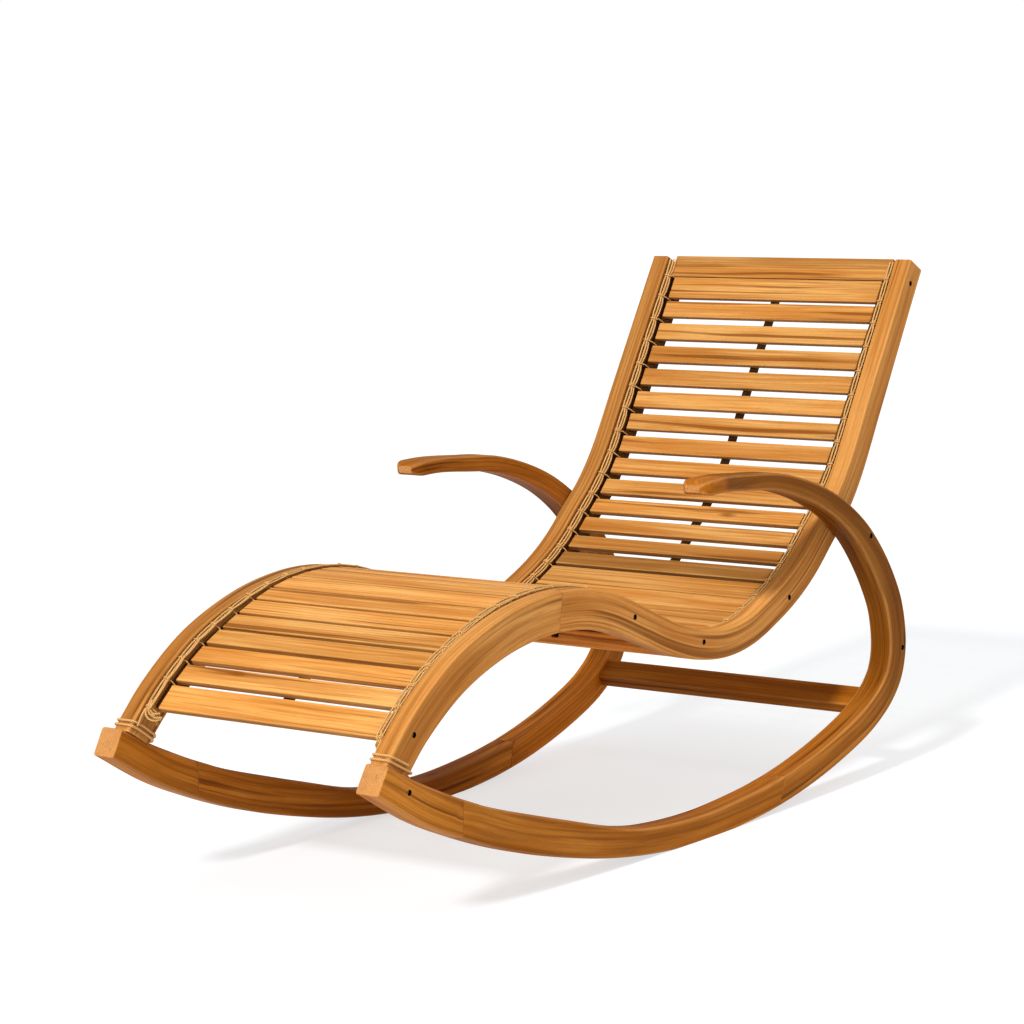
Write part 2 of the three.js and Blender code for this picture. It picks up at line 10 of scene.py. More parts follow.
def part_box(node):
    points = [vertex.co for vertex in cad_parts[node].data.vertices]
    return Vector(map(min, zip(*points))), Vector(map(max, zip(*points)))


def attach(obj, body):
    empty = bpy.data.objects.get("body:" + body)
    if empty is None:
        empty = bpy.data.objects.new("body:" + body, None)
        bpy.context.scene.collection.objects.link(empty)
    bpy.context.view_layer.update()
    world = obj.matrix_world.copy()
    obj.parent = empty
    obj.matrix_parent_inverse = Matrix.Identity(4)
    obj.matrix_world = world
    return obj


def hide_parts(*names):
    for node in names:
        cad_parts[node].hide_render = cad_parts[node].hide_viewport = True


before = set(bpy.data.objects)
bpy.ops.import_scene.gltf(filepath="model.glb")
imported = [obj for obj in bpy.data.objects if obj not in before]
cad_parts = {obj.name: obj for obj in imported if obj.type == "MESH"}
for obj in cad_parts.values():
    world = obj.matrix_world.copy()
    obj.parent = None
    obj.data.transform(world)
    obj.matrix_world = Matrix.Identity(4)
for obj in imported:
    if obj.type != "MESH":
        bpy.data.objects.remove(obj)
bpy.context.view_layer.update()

MILLIMETRE = 0.001

# Named sizes, in millimetres, as in the part

ROCKER_LENGTH = 1485
ROCKER_HEIGHT = 648
RAIL_REACH = 1523
RAIL_RISE = 767
CLEAR_WIDTH = 536
REST_LEAN = math.radians(4)
FLOOR_FLAT_DEPTH = 4
FIT_GAP = 0.3

RAIL_WIDTH = 36
RAIL_DEPTH = 58
RAIL_EDGE = 4
RAIL_FOOT_SETBACK = 40
RAIL_FOOT_HEIGHT = 249
SCARF_LENGTH = 12
SCREW_RADIUS = 5
SCREW_DEPTH = 5

LOOP_WIDTH = 48
LOOP_DEPTH = 48
LOOP_EDGE = 5
CROSSING_CLEARANCE = 3
ARM_WIDENING = 13.8
ARM_WIDE_LENGTH = 190
ARM_TIP_LENGTH = 26
SEAM_SLANT = 22

SLAT_THICKNESS = 12
SLAT_RECESS = 12.5
SLAT_EDGE = 2.2
LACE_LANE = 23
FOOT_BARE_LENGTH = 48
FIRST_SLAT_WIDTH = 54
REGULAR_SLATS = 36
SECOND_SLAT_WIDTH = 38.4
HEAD_SLAT_WIDTH = 48
HEAD_OVERHANG = 8
HEAD_CLEARANCE = 12
OPEN_GAP = 14.7
LEG_GAP = 9.2
SEAT_GAP = 1.6

STRETCHER_HEIGHT = 50
STRETCHER_THICKNESS = 26
STRETCHER_EDGE = 3
STRETCHER_SHARE = 0.602
LEDGER_WIDTH = 32
SPINE_WIDTH = 12
SPINE_DEPTH = 16
BRACE_WIDTH = 30
BRACE_THICKNESS = 13
BRACE_CLEARANCE = 1.2
BRACE_SHARE = 0.478
CORD_RADIUS = 2.3

RAIL_PROFILE_SHARES = [
    [0, 0], [0.04, 0.087], [0.105, 0.187], [0.189, 0.262], [0.259, 0.294], [0.311, 0.301],
    [0.357, 0.293], [0.403, 0.27], [0.46, 0.226], [0.508, 0.189], [0.557, 0.164], [0.606, 0.156],
    [0.652, 0.171], [0.698, 0.21], [0.736, 0.252], [0.769, 0.301], [0.803, 0.367], [0.833, 0.426],
    [0.862, 0.502], [0.908, 0.667], [0.954, 0.833], [1, 1],
]
RAIL_DEPTH_SHARES = [
    [0, 1], [0.12, 1.1], [0.3, 1.21], [0.42, 1.02], [0.55, 0.9], [0.7, 0.94], [0.84, 0.88], [1, 0.8],
]
SLAT_RECESS_SHARES = [[0, 1], [0.12, 1], [0.24, 0.08], [0.36, 0.08], [0.5, 1], [1, 1]]
LOOP_PROFILE_SHARES = [
    [0, 0.309], [0.075, 0.217], [0.143, 0.156], [0.21, 0.106], [0.27, 0.071], [0.378, 0.025],
    [0.453, 0.006], [0.527, 0], [0.594, 0.006], [0.657, 0.023], [0.718, 0.046], [0.783, 0.082],
    [0.851, 0.133], [0.919, 0.199], [0.951, 0.244], [0.975, 0.292], [0.993, 0.355], [1, 0.448],
    [0.989, 0.571], [0.964, 0.673], [0.931, 0.764], [0.897, 0.833], [0.843, 0.907], [0.783, 0.958],
    [0.715, 0.991], [0.657, 0.998], [0.601, 1], [0.552, 0.992],
]
LOOP_DEPTH_SHARES = [
    [0, 1.08], [0.06, 1.26], [0.1, 1.28], [0.16, 1.37], [0.2, 1.32], [0.225, 1.25], [0.25, 1.15],
    [0.275, 1.04], [0.3, 0.99], [0.36, 1], [0.535, 1.05], [0.65, 1.1], [0.72, 1.07], [0.77, 0.97],
    [0.8, 0.87], [0.856, 0.75], [0.925, 0.64], [1, 0.56],
]
SCARF_SHARE = 0.269
TOE_SEAM_SHARE = 0.093
RUNNER_SEAM_SHARE = 0.455
SPLAY_BACK_SHARE = 0.0226
SPLAY_UP_SHARE = 0.0235
LEG_ZONE_SHARE = 0.22
SEAT_ZONE_SHARE = 0.63
SLAT_DRIFT_SHARES = [[0, 0], [0.66, 0], [0.7, -0.115], [0.86, -0.15], [1, 0]]
# Painted light and shade along the bed, by each slat's place: lighter slats on the knee, darker ones at the
# back, and a painted shadow on the slat just above the seat
SLAT_LIGHT_AND_SHADE_SHARES = [
    [0, 1.03], [0.04, 1], [0.08, 0.9], [0.105, 0.86], [0.13, 0.97], [0.2, 1.08], [0.28, 1.06],
    [0.4, 0.84], [0.55, 0.8], [0.605, 0.76], [0.632, 0.46], [0.658, 0.68], [0.69, 0.78], [0.8, 0.8],
    [0.95, 0.82], [1, 0.82],
]
RAIL_TONE_SHARES = [[0, 0.92], [0.2, 0.92], [0.3, 1], [0.5, 1.02], [0.7, 0.9], [1, 0.88]]
# Painted light and shade along the near loop: the rear bow darkened, the toe and the arm's tip lightened
NEAR_LOOP_LIGHT_AND_SHADE_SHARES = [
    [0, 1.1], [0.09, 1], [0.11, 0.9], [0.3, 0.84], [0.45, 0.92], [0.56, 0.9], [0.64, 0.56],
    [0.8, 0.52], [0.9, 0.62], [0.972, 0.66], [0.976, 1.1], [1, 1.1],
]
# Painted light and shade along the far loop: painted light on its low rear part, which lies in the bed's
# shadow, and the bow darkened
FAR_LOOP_LIGHT_AND_SHADE_SHARES = [
    [0, 1.05], [0.09, 1], [0.11, 0.98], [0.3, 0.98], [0.42, 1.2], [0.5, 2], [0.58, 1.9],
    [0.66, 0.9], [0.8, 0.74], [1, 0.78],
]
RAIL_SCREW_SHARES = [[0.036, 0.42], [0.381, 0.4], [0.489, 0.41], [0.624, 0.58], [0.979, 0.46]]
LOOP_SCREW_SHARES = [[0.027, 0.6], [0.659, 0.27], [0.768, 0.25]]


# The same curves as in the part. A point in the side view is a Vector of y and z.

class Outline:
    """A smooth curve through shares of a reach and a rise, measured along its length."""

    divisions = 900

    def __init__(self, shares, reach, rise, start_y, start_z):
        self.knots = [Vector((start_y + along * reach, start_z + up * rise)) for along, up in shares]
        self.sums = [0.0]
        before = self.at(0)
        for i in range(1, self.divisions + 1):
            here = self.at(i / self.divisions)
            self.sums.append(self.sums[-1] + (here - before).length)
            before = here
        self.length = self.sums[-1]

    def at(self, t):
        spans = len(self.knots) - 1
        place_on = t * spans
        index = min(int(place_on), spans - 1)
        weight = place_on - index
        knots = self.knots
        one, two = knots[index], knots[index + 1]
        zero = knots[index - 1] if index else one * 2 - two
        three = knots[index + 2] if index + 2 <= spans else two * 2 - one
        d0, d1, d2 = [(b - a).length ** 0.5 for a, b in ((zero, one), (one, two), (two, three))]
        m1 = ((one - zero) / d0 - (two - zero) / (d0 + d1) + (two - one) / d1) * d1
        m2 = ((two - one) / d1 - (three - one) / (d1 + d2) + (three - two) / d2) * d1
        square = weight * weight
        cube = square * weight
        bend = (two - one) * 3 - m1 * 2 - m2
        twist = (one - two) * 2 + m1 + m2
        return one + m1 * weight + bend * square + twist * cube

    def t_for(self, share):
        target = min(max(share, 0), 1) * self.length
        low, high = 0, self.divisions
        while high - low > 1:
            middle = (low + high) // 2
            if self.sums[middle] <= target:
                low = middle
            else:
                high = middle
        step = self.sums[high] - self.sums[low]
        return (low + (target - self.sums[low]) / step) / self.divisions

    def tangent(self, share):
        t = self.t_for(share)
        step = 0.0001
        return (self.at(min(t + step, 1)) - self.at(max(t - step, 0))).normalized()

    def point(self, share):
        within = min(max(share, 0), 1)
        past = (share - within) * self.length
        return self.at(self.t_for(within)) + self.tangent(within) * past


rail_curve = Outline(RAIL_PROFILE_SHARES, RAIL_REACH, RAIL_RISE, RAIL_FOOT_SETBACK, RAIL_FOOT_HEIGHT)
loop_curve = Outline(LOOP_PROFILE_SHARES, ROCKER_LENGTH, ROCKER_HEIGHT, 0, 0)


def smooth_step(value, low, high):
    part = min(max((value - low) / (high - low), 0), 1)
    return part * part * (3 - 2 * part)


def from_shares(table, share):
    """A table read along a smooth curve, level at its ends and where its rows turn or stay level."""
    row = 1
    while row < len(table) - 1 and share > table[row][0]:
        row += 1

    def rise(i):
        return (table[i][1] - table[i - 1][1]) / (table[i][0] - table[i - 1][0])

    def slope(i):
        if i in (0, len(table) - 1) or rise(i) * rise(i + 1) <= 0:
            return 0
        return 2 * rise(i) * rise(i + 1) / (rise(i) + rise(i + 1))

    before_share, before = table[row - 1]
    after_share, after = table[row]
    span = after_share - before_share
    t = min(max((share - before_share) / span, 0), 1)
    leaving = t * (1 - t) * (1 - t) * span * slope(row - 1)
    arriving = t * t * (t - 1) * span * slope(row)
    return before + (after - before) * t * t * (3 - 2 * t) + leaving + arriving


def inward(curve, share):
    tangent = curve.tangent(share)
    if curve is rail_curve:
        return Vector((tangent.y, -tangent.x))
    return Vector((-tangent.y, tangent.x))


def inner_point(curve, share, depth):
    return curve.point(share) + inward(curve, share) * depth


def rail_depth_at(share):
    return RAIL_DEPTH * from_shares(RAIL_DEPTH_SHARES, share)


def loop_depth_at(share):
    return LOOP_DEPTH * from_shares(LOOP_DEPTH_SHARES, share)


def recess_at(share):
    return SLAT_RECESS * from_shares(SLAT_RECESS_SHARES, share)


def leaned(point):
    lean_cos, lean_sin = math.cos(REST_LEAN), math.sin(REST_LEAN)
    return Vector((point.x * lean_cos + point.y * lean_sin, point.y * lean_cos - point.x * lean_sin))


CONTOUR_STEPS = 336
lowest = min(leaned(loop_curve.point(i / CONTOUR_STEPS)).y for i in range(CONTOUR_STEPS + 1))
floor_shift = -lowest - FLOOR_FLAT_DEPTH


def placed_level(point):
    turned = leaned(point)
    return Vector((turned.x, max(turned.y + floor_shift, 0)))


# The side view is moved along Y until its toes lie where the chair's toes do
toe_low = min(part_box(f"{side}_toe_block")[0][1] for side in ("left", "right"))
drawn_toe = min(
    placed_level(inner_point(loop_curve, 0, loop_depth_at(0) * part)).x for part in (0, 1)
)
shift_y = toe_low / MILLIMETRE - drawn_toe


def place(x, point):
    """A point of the side view, at a distance x from the chair's middle, in metres."""
    level = placed_level(point)
    return Vector((x, level.x + shift_y, level.y)) * MILLIMETRE


RAIL_INNER = CLEAR_WIDTH / 2
RAIL_OUTER = RAIL_INNER + RAIL_WIDTH

CROSSING_RAIL_STEPS = 66
CROSSING_LOOP_STEPS = 84


def centre_points(curve, depth_at, steps):
    """Points along the middle of a bar's second half."""
    shares = [i / (2 * steps) for i in range(steps, 2 * steps + 1)]
    return [inner_point(curve, share, depth_at(share) / 2) for share in shares]


def find_crossing():
    loop_points = centre_points(loop_curve, loop_depth_at, CROSSING_LOOP_STEPS)
    rail_points = centre_points(rail_curve, rail_depth_at, CROSSING_RAIL_STEPS)
    pairs = [(point, other) for point in rail_points for other in loop_points]
    point, other = min(pairs, key=lambda pair: (pair[0] - pair[1]).length)
    return (point + other) / 2


crossing = find_crossing()


def loop_inner_x(point):
    back = (point.x - crossing.x) * SPLAY_BACK_SHARE
    up = (point.y - crossing.y) * SPLAY_UP_SHARE
    return RAIL_OUTER + CROSSING_CLEARANCE + back + up


def arm_width(share):
    from_tip = (1 - share) * loop_curve.length
    return ARM_WIDENING * (1 - smooth_step(from_tip, 0, ARM_WIDE_LENGTH))


# Node trees

def srgb(red, green, blue):
    def linear(value):
        part = value / 255
        return part / 12.92 if part <= 0.04045 else ((part + 0.055) / 1.055) ** 2.4
    return (linear(red), linear(green), linear(blue), 1)


class Tree:
    """Short calls for the nodes of a material or a world."""

    def __init__(self, owner, output):
        owner.use_nodes = True
        self.owner = owner
        self.nodes = owner.node_tree.nodes
        self.links = owner.node_tree.links
        self.nodes.clear()
        self.output = self.new(output)

    def new(self, kind):
        return self.nodes.new("ShaderNode" + kind)

    def fill(self, socket, value):
        if isinstance(value, bpy.types.NodeSocket):
            self.links.new(value, socket)
        elif value is not None:
            socket.default_value = value

    def add(self, kind, inputs=None, out=0, **settings):
        node = self.new(kind)
        for key, value in settings.items():
            setattr(node, key, value)
        for key, value in (inputs or {}).items():
            self.fill(node.inputs[key], value)
        return node.outputs[out]

    def math(self, operation, first, second=None, third=None, clamp=False):
        inputs = {0: first, 1: second, 2: third}
        return self.add("Math", inputs, operation=operation, use_clamp=clamp)

    def vector(self, operation, first, second=None):
        return self.add("VectorMath", {0: first, 1: second}, operation=operation)

    def noise(self, spot, stretch, detail=2, rough=0.5, out=0):
        vector = self.vector("MULTIPLY", spot, stretch)
        inputs = {"Vector": vector, "Scale": 1, "Detail": detail, "Roughness": rough}
        return self.add("TexNoise", inputs, out)

    def ramp(self, value, stops, ease="LINEAR"):
        node = self.new("ValToRGB")
        node.color_ramp.interpolation = ease
        elements = node.color_ramp.elements
        while len(elements) < len(stops):
            elements.new(0.5)
        for element, (position, colour) in zip(elements, stops):
            element.position = position
            element.color = colour if isinstance(colour, tuple) else (colour, colour, colour, 1)
        self.fill(node.inputs[0], value)
        return node.outputs[0]

    def mix(self, factor, first, second, blend="MIX"):
        node = self.new("Mix")
        node.data_type = "RGBA"
        node.blend_type = blend
        self.fill(node.inputs[0], factor)
        self.fill(node.inputs[6], first)
        self.fill(node.inputs[7], second)
        return node.outputs[2]

    def between(self, value, low, high, to_low, to_high):
        inputs = {0: value, 1: low, 2: high, 3: to_low, 4: to_high}
        return self.add("MapRange", inputs, clamp=True)

    def bump(self, strength, distance, height):
        return self.add("Bump", {"Strength": strength, "Distance": distance, "Height": height})

    def finish(self, shader):
        self.links.new(shader, self.output.inputs["Surface"])
        return self.owner

    def coated(self, colour, rough, others):
        inputs = {"Base Color": colour, "Roughness": rough, **others}
        return self.finish(self.add("BsdfPrincipled", inputs))


def material_tree(name):
    return Tree(bpy.data.materials.new(name), "OutputMaterial")


# Noises of the wood. Their scales are counts per metre along the fibres, across them and deep.

DRIFT_SCALE = (1.6, 12, 12)
DRIFT_MIDDLE = (0.5, 0.5, 0.5)
DRIFT_REACH = (0, 0.022, 0.022)
RING_STRETCH = (0.05, 1, 1)
RING_CENTRE = (0, 0.043, -0.06)
RING_BENDS = {"Distortion": 2.6, "Detail": 2, "Detail Scale": 0.6}
RING_STOPS = [(0, 0), (0.5, 0.12), (0.8, 0.7), (0.93, 1), (1, 0)]
RING_FADE_SCALE = (1.1, 26, 26)
RING_STRENGTH = 0.62
FIBRE_SCALE = (7, 520, 520)
BLOTCH_SCALE = (3.4, 17, 17)
PORE_SCALE = (55, 1300, 1300)
PORE_STRENGTH = 0.34
KNOT_SCALE = (5.5, 21, 21)
KNOT_RARITY = 0.78
KNOT_STRENGTH = 0.8
FIBRE_HEIGHT = 0.7
RING_HEIGHT = -0.25
PORE_HEIGHT = 0.5
WOOD_BUMP = 0.4
WOOD_RELIEF = 0.0006
WOOD_SHEEN = 0.06

# Scale, detail and roughness of a noise, where its marks begin and are full, and their strength

BANDS = ((1.5, 46, 46), 3, 0.5, 0.48, 0.62, 0.5)
STRANDS = ((2.6, 150, 150), 4, 0.62, 0.46, 0.66, 0.6)
VEINS = ((0.9, 82, 82), 2, 0.5, 0.6, 0.68, 0.7)

# Ranges: a noise's low and high end, and the values there

RING_FADE = (0.4, 0.62, 0.12, 1)
BLOTCH_RANGE = (0.35, 0.62, 0, 1)
PORE_RANGE = (0.6, 0.72, 0, 1)
KNOT_RANGE = (0.04, 0.15, 1, 0)
FIBRE_SHADE = (0.25, 0.75, 0.86, 1.12)
# Edge paling by the fibres: wear and a painted highlight
FIBRE_WEAR_AND_HIGHLIGHT = (0.3, 0.7, 0.1, 0.5)
FIBRE_ROUGH = (0.3, 0.7, 0.44, 0.62)
FUZZ_SHADE = (0.3, 0.7, 0.82, 1.1)
FUZZ_ROUGH = (0.3, 0.7, 0.7, 0.9)
STEEL_ROUGH = (0.3, 0.7, 0.35, 0.6)


def wood(name, colours, contrast, rings_scale, grain_from="attribute"):
    """Oiled wood. Its grain vector runs along the fibres first, then across and then deep, in metres."""
    light, middle, dark, streak, pale = [srgb(*colour) for colour in colours]
    tree = material_tree(name)
    if grain_from == "attribute":
        grain = tree.add("Attribute", attribute_name="grain", out=1)
        tone = tree.add("Attribute", attribute_name="tone", out=2)
        rim = tree.add("Attribute", attribute_name="rim", out=2)
    else:
        spot = tree.add("TexCoord", out=3)
        parts = tree.new("SeparateXYZ")
        tree.fill(parts.inputs[0], spot)
        turned = {0: parts.outputs[1], 1: parts.outputs[0], 2: parts.outputs[2]}
        grain = tree.add("CombineXYZ", turned)
        tone = rim = None

    slow = tree.noise(grain, DRIFT_SCALE, out=1)
    warp = tree.vector("MULTIPLY", tree.vector("SUBTRACT", slow, DRIFT_MIDDLE), DRIFT_REACH)
    bent = tree.vector("ADD", grain, warp)

    def marks(scale, detail, rough, begin, full, strength):
        noise = tree.noise(bent, scale, detail, rough)
        return tree.between(noise, begin, full, 0, strength * contrast)

    ring_place = tree.vector("ADD", tree.vector("MULTIPLY", bent, RING_STRETCH), RING_CENTRE)
    rings = tree.add(
        "TexWave", {"Vector": ring_place, "Scale": rings_scale, **RING_BENDS},
        out=1, wave_type="RINGS", rings_direction="X", wave_profile="SAW",
    )
    fade = tree.between(tree.noise(bent, RING_FADE_SCALE), *RING_FADE)
    late = tree.math("MULTIPLY", tree.ramp(rings, RING_STOPS, "EASE"), fade)
    fibre = tree.noise(bent, FIBRE_SCALE, detail=3, rough=0.65)
    pores = tree.between(tree.noise(grain, PORE_SCALE, detail=1), *PORE_RANGE)

    cells = tree.new("TexVoronoi")
    tree.fill(cells.inputs["Vector"], tree.vector("MULTIPLY", bent, KNOT_SCALE))
    tree.fill(cells.inputs["Scale"], 1)
    cell_number = tree.add("SeparateColor", {0: cells.outputs["Color"]})
    chosen = tree.math("GREATER_THAN", cell_number, KNOT_RARITY)
    knots = tree.math("MULTIPLY", tree.between(cells.outputs["Distance"], *KNOT_RANGE), chosen)

    colour = tree.mix(tree.between(tree.noise(bent, BLOTCH_SCALE), *BLOTCH_RANGE), light, middle)
    colour = tree.mix(marks(*BANDS), colour, dark)
    colour = tree.mix(tree.math("MULTIPLY", late, RING_STRENGTH * contrast), colour, dark)
    colour = tree.mix(marks(*STRANDS), colour, dark)
    colour = tree.mix(marks(*VEINS), colour, streak)
    colour = tree.mix(tree.math("MULTIPLY", pores, PORE_STRENGTH), colour, dark)
    colour = tree.mix(tree.math("MULTIPLY", knots, KNOT_STRENGTH), colour, streak)
    colour = tree.mix(1, colour, tree.between(fibre, *FIBRE_SHADE), "MULTIPLY")
    # The per-corner factor carries painted light and shade
    if tone is not None:
        colour = tree.mix(1, colour, tone, "MULTIPLY")
        # Rounded edges and ends paled: wear and a painted highlight
        wear_and_highlight = tree.math("MULTIPLY", rim, tree.between(fibre, *FIBRE_WEAR_AND_HIGHLIGHT), clamp=True)
        colour = tree.mix(wear_and_highlight, colour, pale)

    height = tree.math("MULTIPLY", fibre, FIBRE_HEIGHT)
    height = tree.math("ADD", height, tree.math("MULTIPLY", late, RING_HEIGHT))
    height = tree.math("SUBTRACT", height, tree.math("MULTIPLY", pores, PORE_HEIGHT))
    bump = tree.bump(WOOD_BUMP, WOOD_RELIEF, height)
    rough = tree.between(fibre, *FIBRE_ROUGH)
    return tree.coated(colour, rough, {"Normal": bump, "Specular IOR Level": WOOD_SHEEN})


# Each wood's colours: light, middle, dark, streaks, and worn edges with a painted highlight

SLAT_COLOURS = ((250, 188, 108), (240, 168, 86), (196, 116, 38), (136, 72, 14), (250, 188, 108))
RAIL_COLOURS = ((234, 166, 88), (216, 142, 66), (166, 96, 28), (112, 56, 8), (236, 168, 92))
LOOP_COLOURS = ((212, 136, 50), (188, 110, 24), (142, 76, 8), (98, 46, 2), (216, 156, 96))
# The ledgers' and the spine's wood is darkened for the shade under the slats: painted shade
UNDER_SHADE_COLOURS = ((74, 42, 12), (60, 33, 8), (44, 22, 2), (30, 14, 0), (74, 42, 12))

# The cord's painted shade in its grooves, its side, and its painted highlight on the crown, and the steel
# where it is dull and bright

CORD_SHADE_AND_HIGHLIGHT_COLOURS = ((140, 80, 24), (230, 166, 84), (255, 214, 144))
STEEL_COLOURS = ((78, 52, 32), (150, 108, 74))

TWIST_LENGTH = 0.011
PLIES = 3
FUZZ_SCALE = (900, 9, 1)
FUZZ_HEIGHT = 0.4
CORD_BUMP = 0.7
CORD_RELIEF = 0.0008
WEAR_SCALE = (240, 240, 240)
STEEL_METALLIC = 0.3


def cord_material():
    tree = material_tree("cord")
    spot = tree.add("UVMap", uv_map="twist")
    parts = tree.new("SeparateXYZ")
    tree.fill(parts.inputs[0], spot)
    turns = tree.math("ADD", tree.math("MULTIPLY", parts.outputs[0], 1 / TWIST_LENGTH), parts.outputs[1])
    ply = tree.math("PINGPONG", tree.math("MULTIPLY", turns, PLIES), 0.5)
    ply = tree.math("MULTIPLY", ply, 2)
    fuzz = tree.noise(spot, FUZZ_SCALE)
    groove_shade, side, crown_highlight = [srgb(*colour) for colour in CORD_SHADE_AND_HIGHLIGHT_COLOURS]
    # Painted shade in the grooves between plies and a painted highlight on their crowns
    colour = tree.ramp(ply, [(0, groove_shade), (0.35, side), (1, crown_highlight)])
    colour = tree.mix(1, colour, tree.between(fuzz, *FUZZ_SHADE), "MULTIPLY")
    height = tree.math("ADD", ply, tree.math("MULTIPLY", fuzz, FUZZ_HEIGHT))
    bump = tree.bump(CORD_BUMP, CORD_RELIEF, height)
    rough = tree.between(fuzz, *FUZZ_ROUGH)
    return tree.coated(colour, rough, {"Normal": bump})


def steel_material():
    tree = material_tree("bolt_steel")
    spot = tree.add("TexCoord", out=3)
    wear = tree.noise(spot, WEAR_SCALE, detail=4)
    dull, bright = [srgb(*colour) for colour in STEEL_COLOURS]
    colour = tree.ramp(wear, [(0.3, dull), (0.7, bright)])
    rough = tree.between(wear, *STEEL_ROUGH)
    return tree.coated(colour, rough, {"Metallic": STEEL_METALLIC})


materials = {
    "slat_wood": wood("slat_wood", SLAT_COLOURS, contrast=1.1, rings_scale=52),
    "rail_wood": wood("rail_wood", RAIL_COLOURS, contrast=1, rings_scale=40),
    "loop_wood": wood("loop_wood", LOOP_COLOURS, contrast=1.1, rings_scale=40),
    "under_wood": wood("under_wood", UNDER_SHADE_COLOURS, contrast=0.8, rings_scale=44, grain_from="place"),
    "cord": cord_material(),
    "bolt_steel": steel_material(),
}

# Lofted pieces

ARC_STEPS = 4
HOLE_SIDES = 24
SHARP_ANGLE = math.radians(48)
GRAIN_RUN = 9
GRAIN_SHIFT = 0.08


def rounded_section(width, depth, radius):
    """Points round a rectangle that starts at its first corner, with each corner's arc marked."""
    corners = (
        (width - radius, radius, -90), (width - radius, depth - radius, 0),
        (radius, depth - radius, 90), (radius, radius, 180),
    )
    points = []
    for centre_a, centre_d, start in corners:
        for k in range(ARC_STEPS + 1):
            angle = math.radians(start + 90 * k / ARC_STEPS)
            on_arc = 1 if 0 < k < ARC_STEPS else 0
            a = centre_a + radius * math.cos(angle)
            d = centre_d + radius * math.sin(angle)
            points.append((a, d, on_arc))
    return points


def add_object(name, data):
    thing = bpy.data.objects.new(name, data)
    bpy.context.scene.collection.objects.link(thing)
    return thing


def finish_mesh(name, mesh, slot, nodes):
    piece = add_object(name, mesh)
    mesh.materials.append(materials[slot])
    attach(piece, "root")
    if nodes:
        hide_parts(*nodes)
    return piece


def cut_holes(mesh, holes):
    """The mesh with the screws' holes cut across the chair, each at its centre."""
    cutter_mesh = bpy.data.meshes.new("cutter")
    work = bmesh.new()
    turn = Matrix.Rotation(math.pi / 2, 4, "Y")
    radius, depth = SCREW_RADIUS * MILLIMETRE, 2 * SCREW_DEPTH * MILLIMETRE
    for centre in holes:
        bmesh.ops.create_cone(
            work, cap_ends=True, segments=HOLE_SIDES, radius1=radius, radius2=radius, depth=depth,
            matrix=Matrix.Translation(centre) @ turn,
        )
    work.to_mesh(cutter_mesh)
    work.free()
    cutter = add_object("cutter", cutter_mesh)
    body = add_object("body", mesh)
    modifier = body.modifiers.new("holes", "BOOLEAN")
    modifier.solver = "EXACT"
    modifier.object = cutter
    graph = bpy.context.evaluated_depsgraph_get()
    graph.update()
    cut = bpy.data.meshes.new_from_object(
        body.evaluated_get(graph), preserve_all_data_layers=True, depsgraph=graph,
    )
    for thing in (cutter, body):
        bpy.data.objects.remove(thing)
    bpy.data.meshes.remove(cutter_mesh)
    return cut


def tube_faces(first, rings, sides):
    """Faces between rings of corners, and then one at the start and one at the end."""
    faces = []
    for r in range(rings - 1):
        for k in range(sides):
            a = first + r * sides + k
            b = first + r * sides + (k + 1) % sides
            faces.append((a, b, b + sides, a + sides))
    last = first + (rings - 1) * sides
    faces.append(tuple(reversed(range(first, first + sides))))
    faces.append(tuple(range(last, last + sides)))
    return faces


def closed_mesh(name, places, faces):
    """A mesh whose faces all look outwards."""
    mesh = bpy.data.meshes.new(name)
    mesh.from_pydata(places, [], faces)
    work = bmesh.new()
    work.from_mesh(mesh)
    bmesh.ops.recalc_face_normals(work, faces=work.faces)
    work.to_mesh(mesh)
    work.free()
    return mesh


def wooden_piece(node, rows, faces, slot, seed, holes=()):
    """A closed piece. A row is a corner's place, its place in the grain in mm, its colour factor, with
    painted light and shade, and its edge wear, with painted highlight.
    """
    picker = random.Random(seed)
    along = picker.uniform(0, GRAIN_RUN)
    across = picker.uniform(-GRAIN_SHIFT, GRAIN_SHIFT)
    deep = picker.uniform(-GRAIN_SHIFT, GRAIN_SHIFT)
    offset = Vector((along, across, deep))
    name = f"{node}_wood"
    mesh = closed_mesh(name, [row[0] for row in rows], faces)
    corners = [rows[corner.vertex_index] for corner in mesh.loops]
    spots = [Vector(row[1]) * MILLIMETRE + offset for row in corners]
    grain = mesh.attributes.new("grain", "FLOAT_VECTOR", "CORNER")
    grain.data.foreach_set("vector", [value for spot in spots for value in spot])
    for column, label in ((2, "tone"), (3, "rim")):
        attribute = mesh.attributes.new(label, "FLOAT", "CORNER")
        attribute.data.foreach_set("value", [row[column] for row in corners])
    if holes:
        mesh = cut_holes(mesh, holes)
        mesh.name = name
    mesh.shade_smooth()
    mesh.set_sharp_from_angle(angle=SHARP_ANGLE)
    piece = finish_mesh(name, mesh, slot, [node])
    weighted = piece.modifiers.new("even_shading", "WEIGHTED_NORMAL")
    weighted.keep_sharp = True
    return piece


def loft(node, rings, slot, seed, holes=()):
    """A wooden piece through rings of rows, closed at both ends."""
    rows = [row for ring in rings for row in ring]
    wooden_piece(node, rows, tube_faces(0, len(rings), len(rings[0])), slot, seed, holes)


END_EDGE = 1.0
# How strongly the ends are paled: wear and a painted highlight
END_WEAR_AND_HIGHLIGHT = 2.2
EDGE_LIMIT_SHARE = 0.4
BAR_STEP = 9
SLANT_ROOM_SHARE = 1.3
END_ROOM = 2
TIP_STEPS = 12
TIP_ROUNDNESS = 0.75


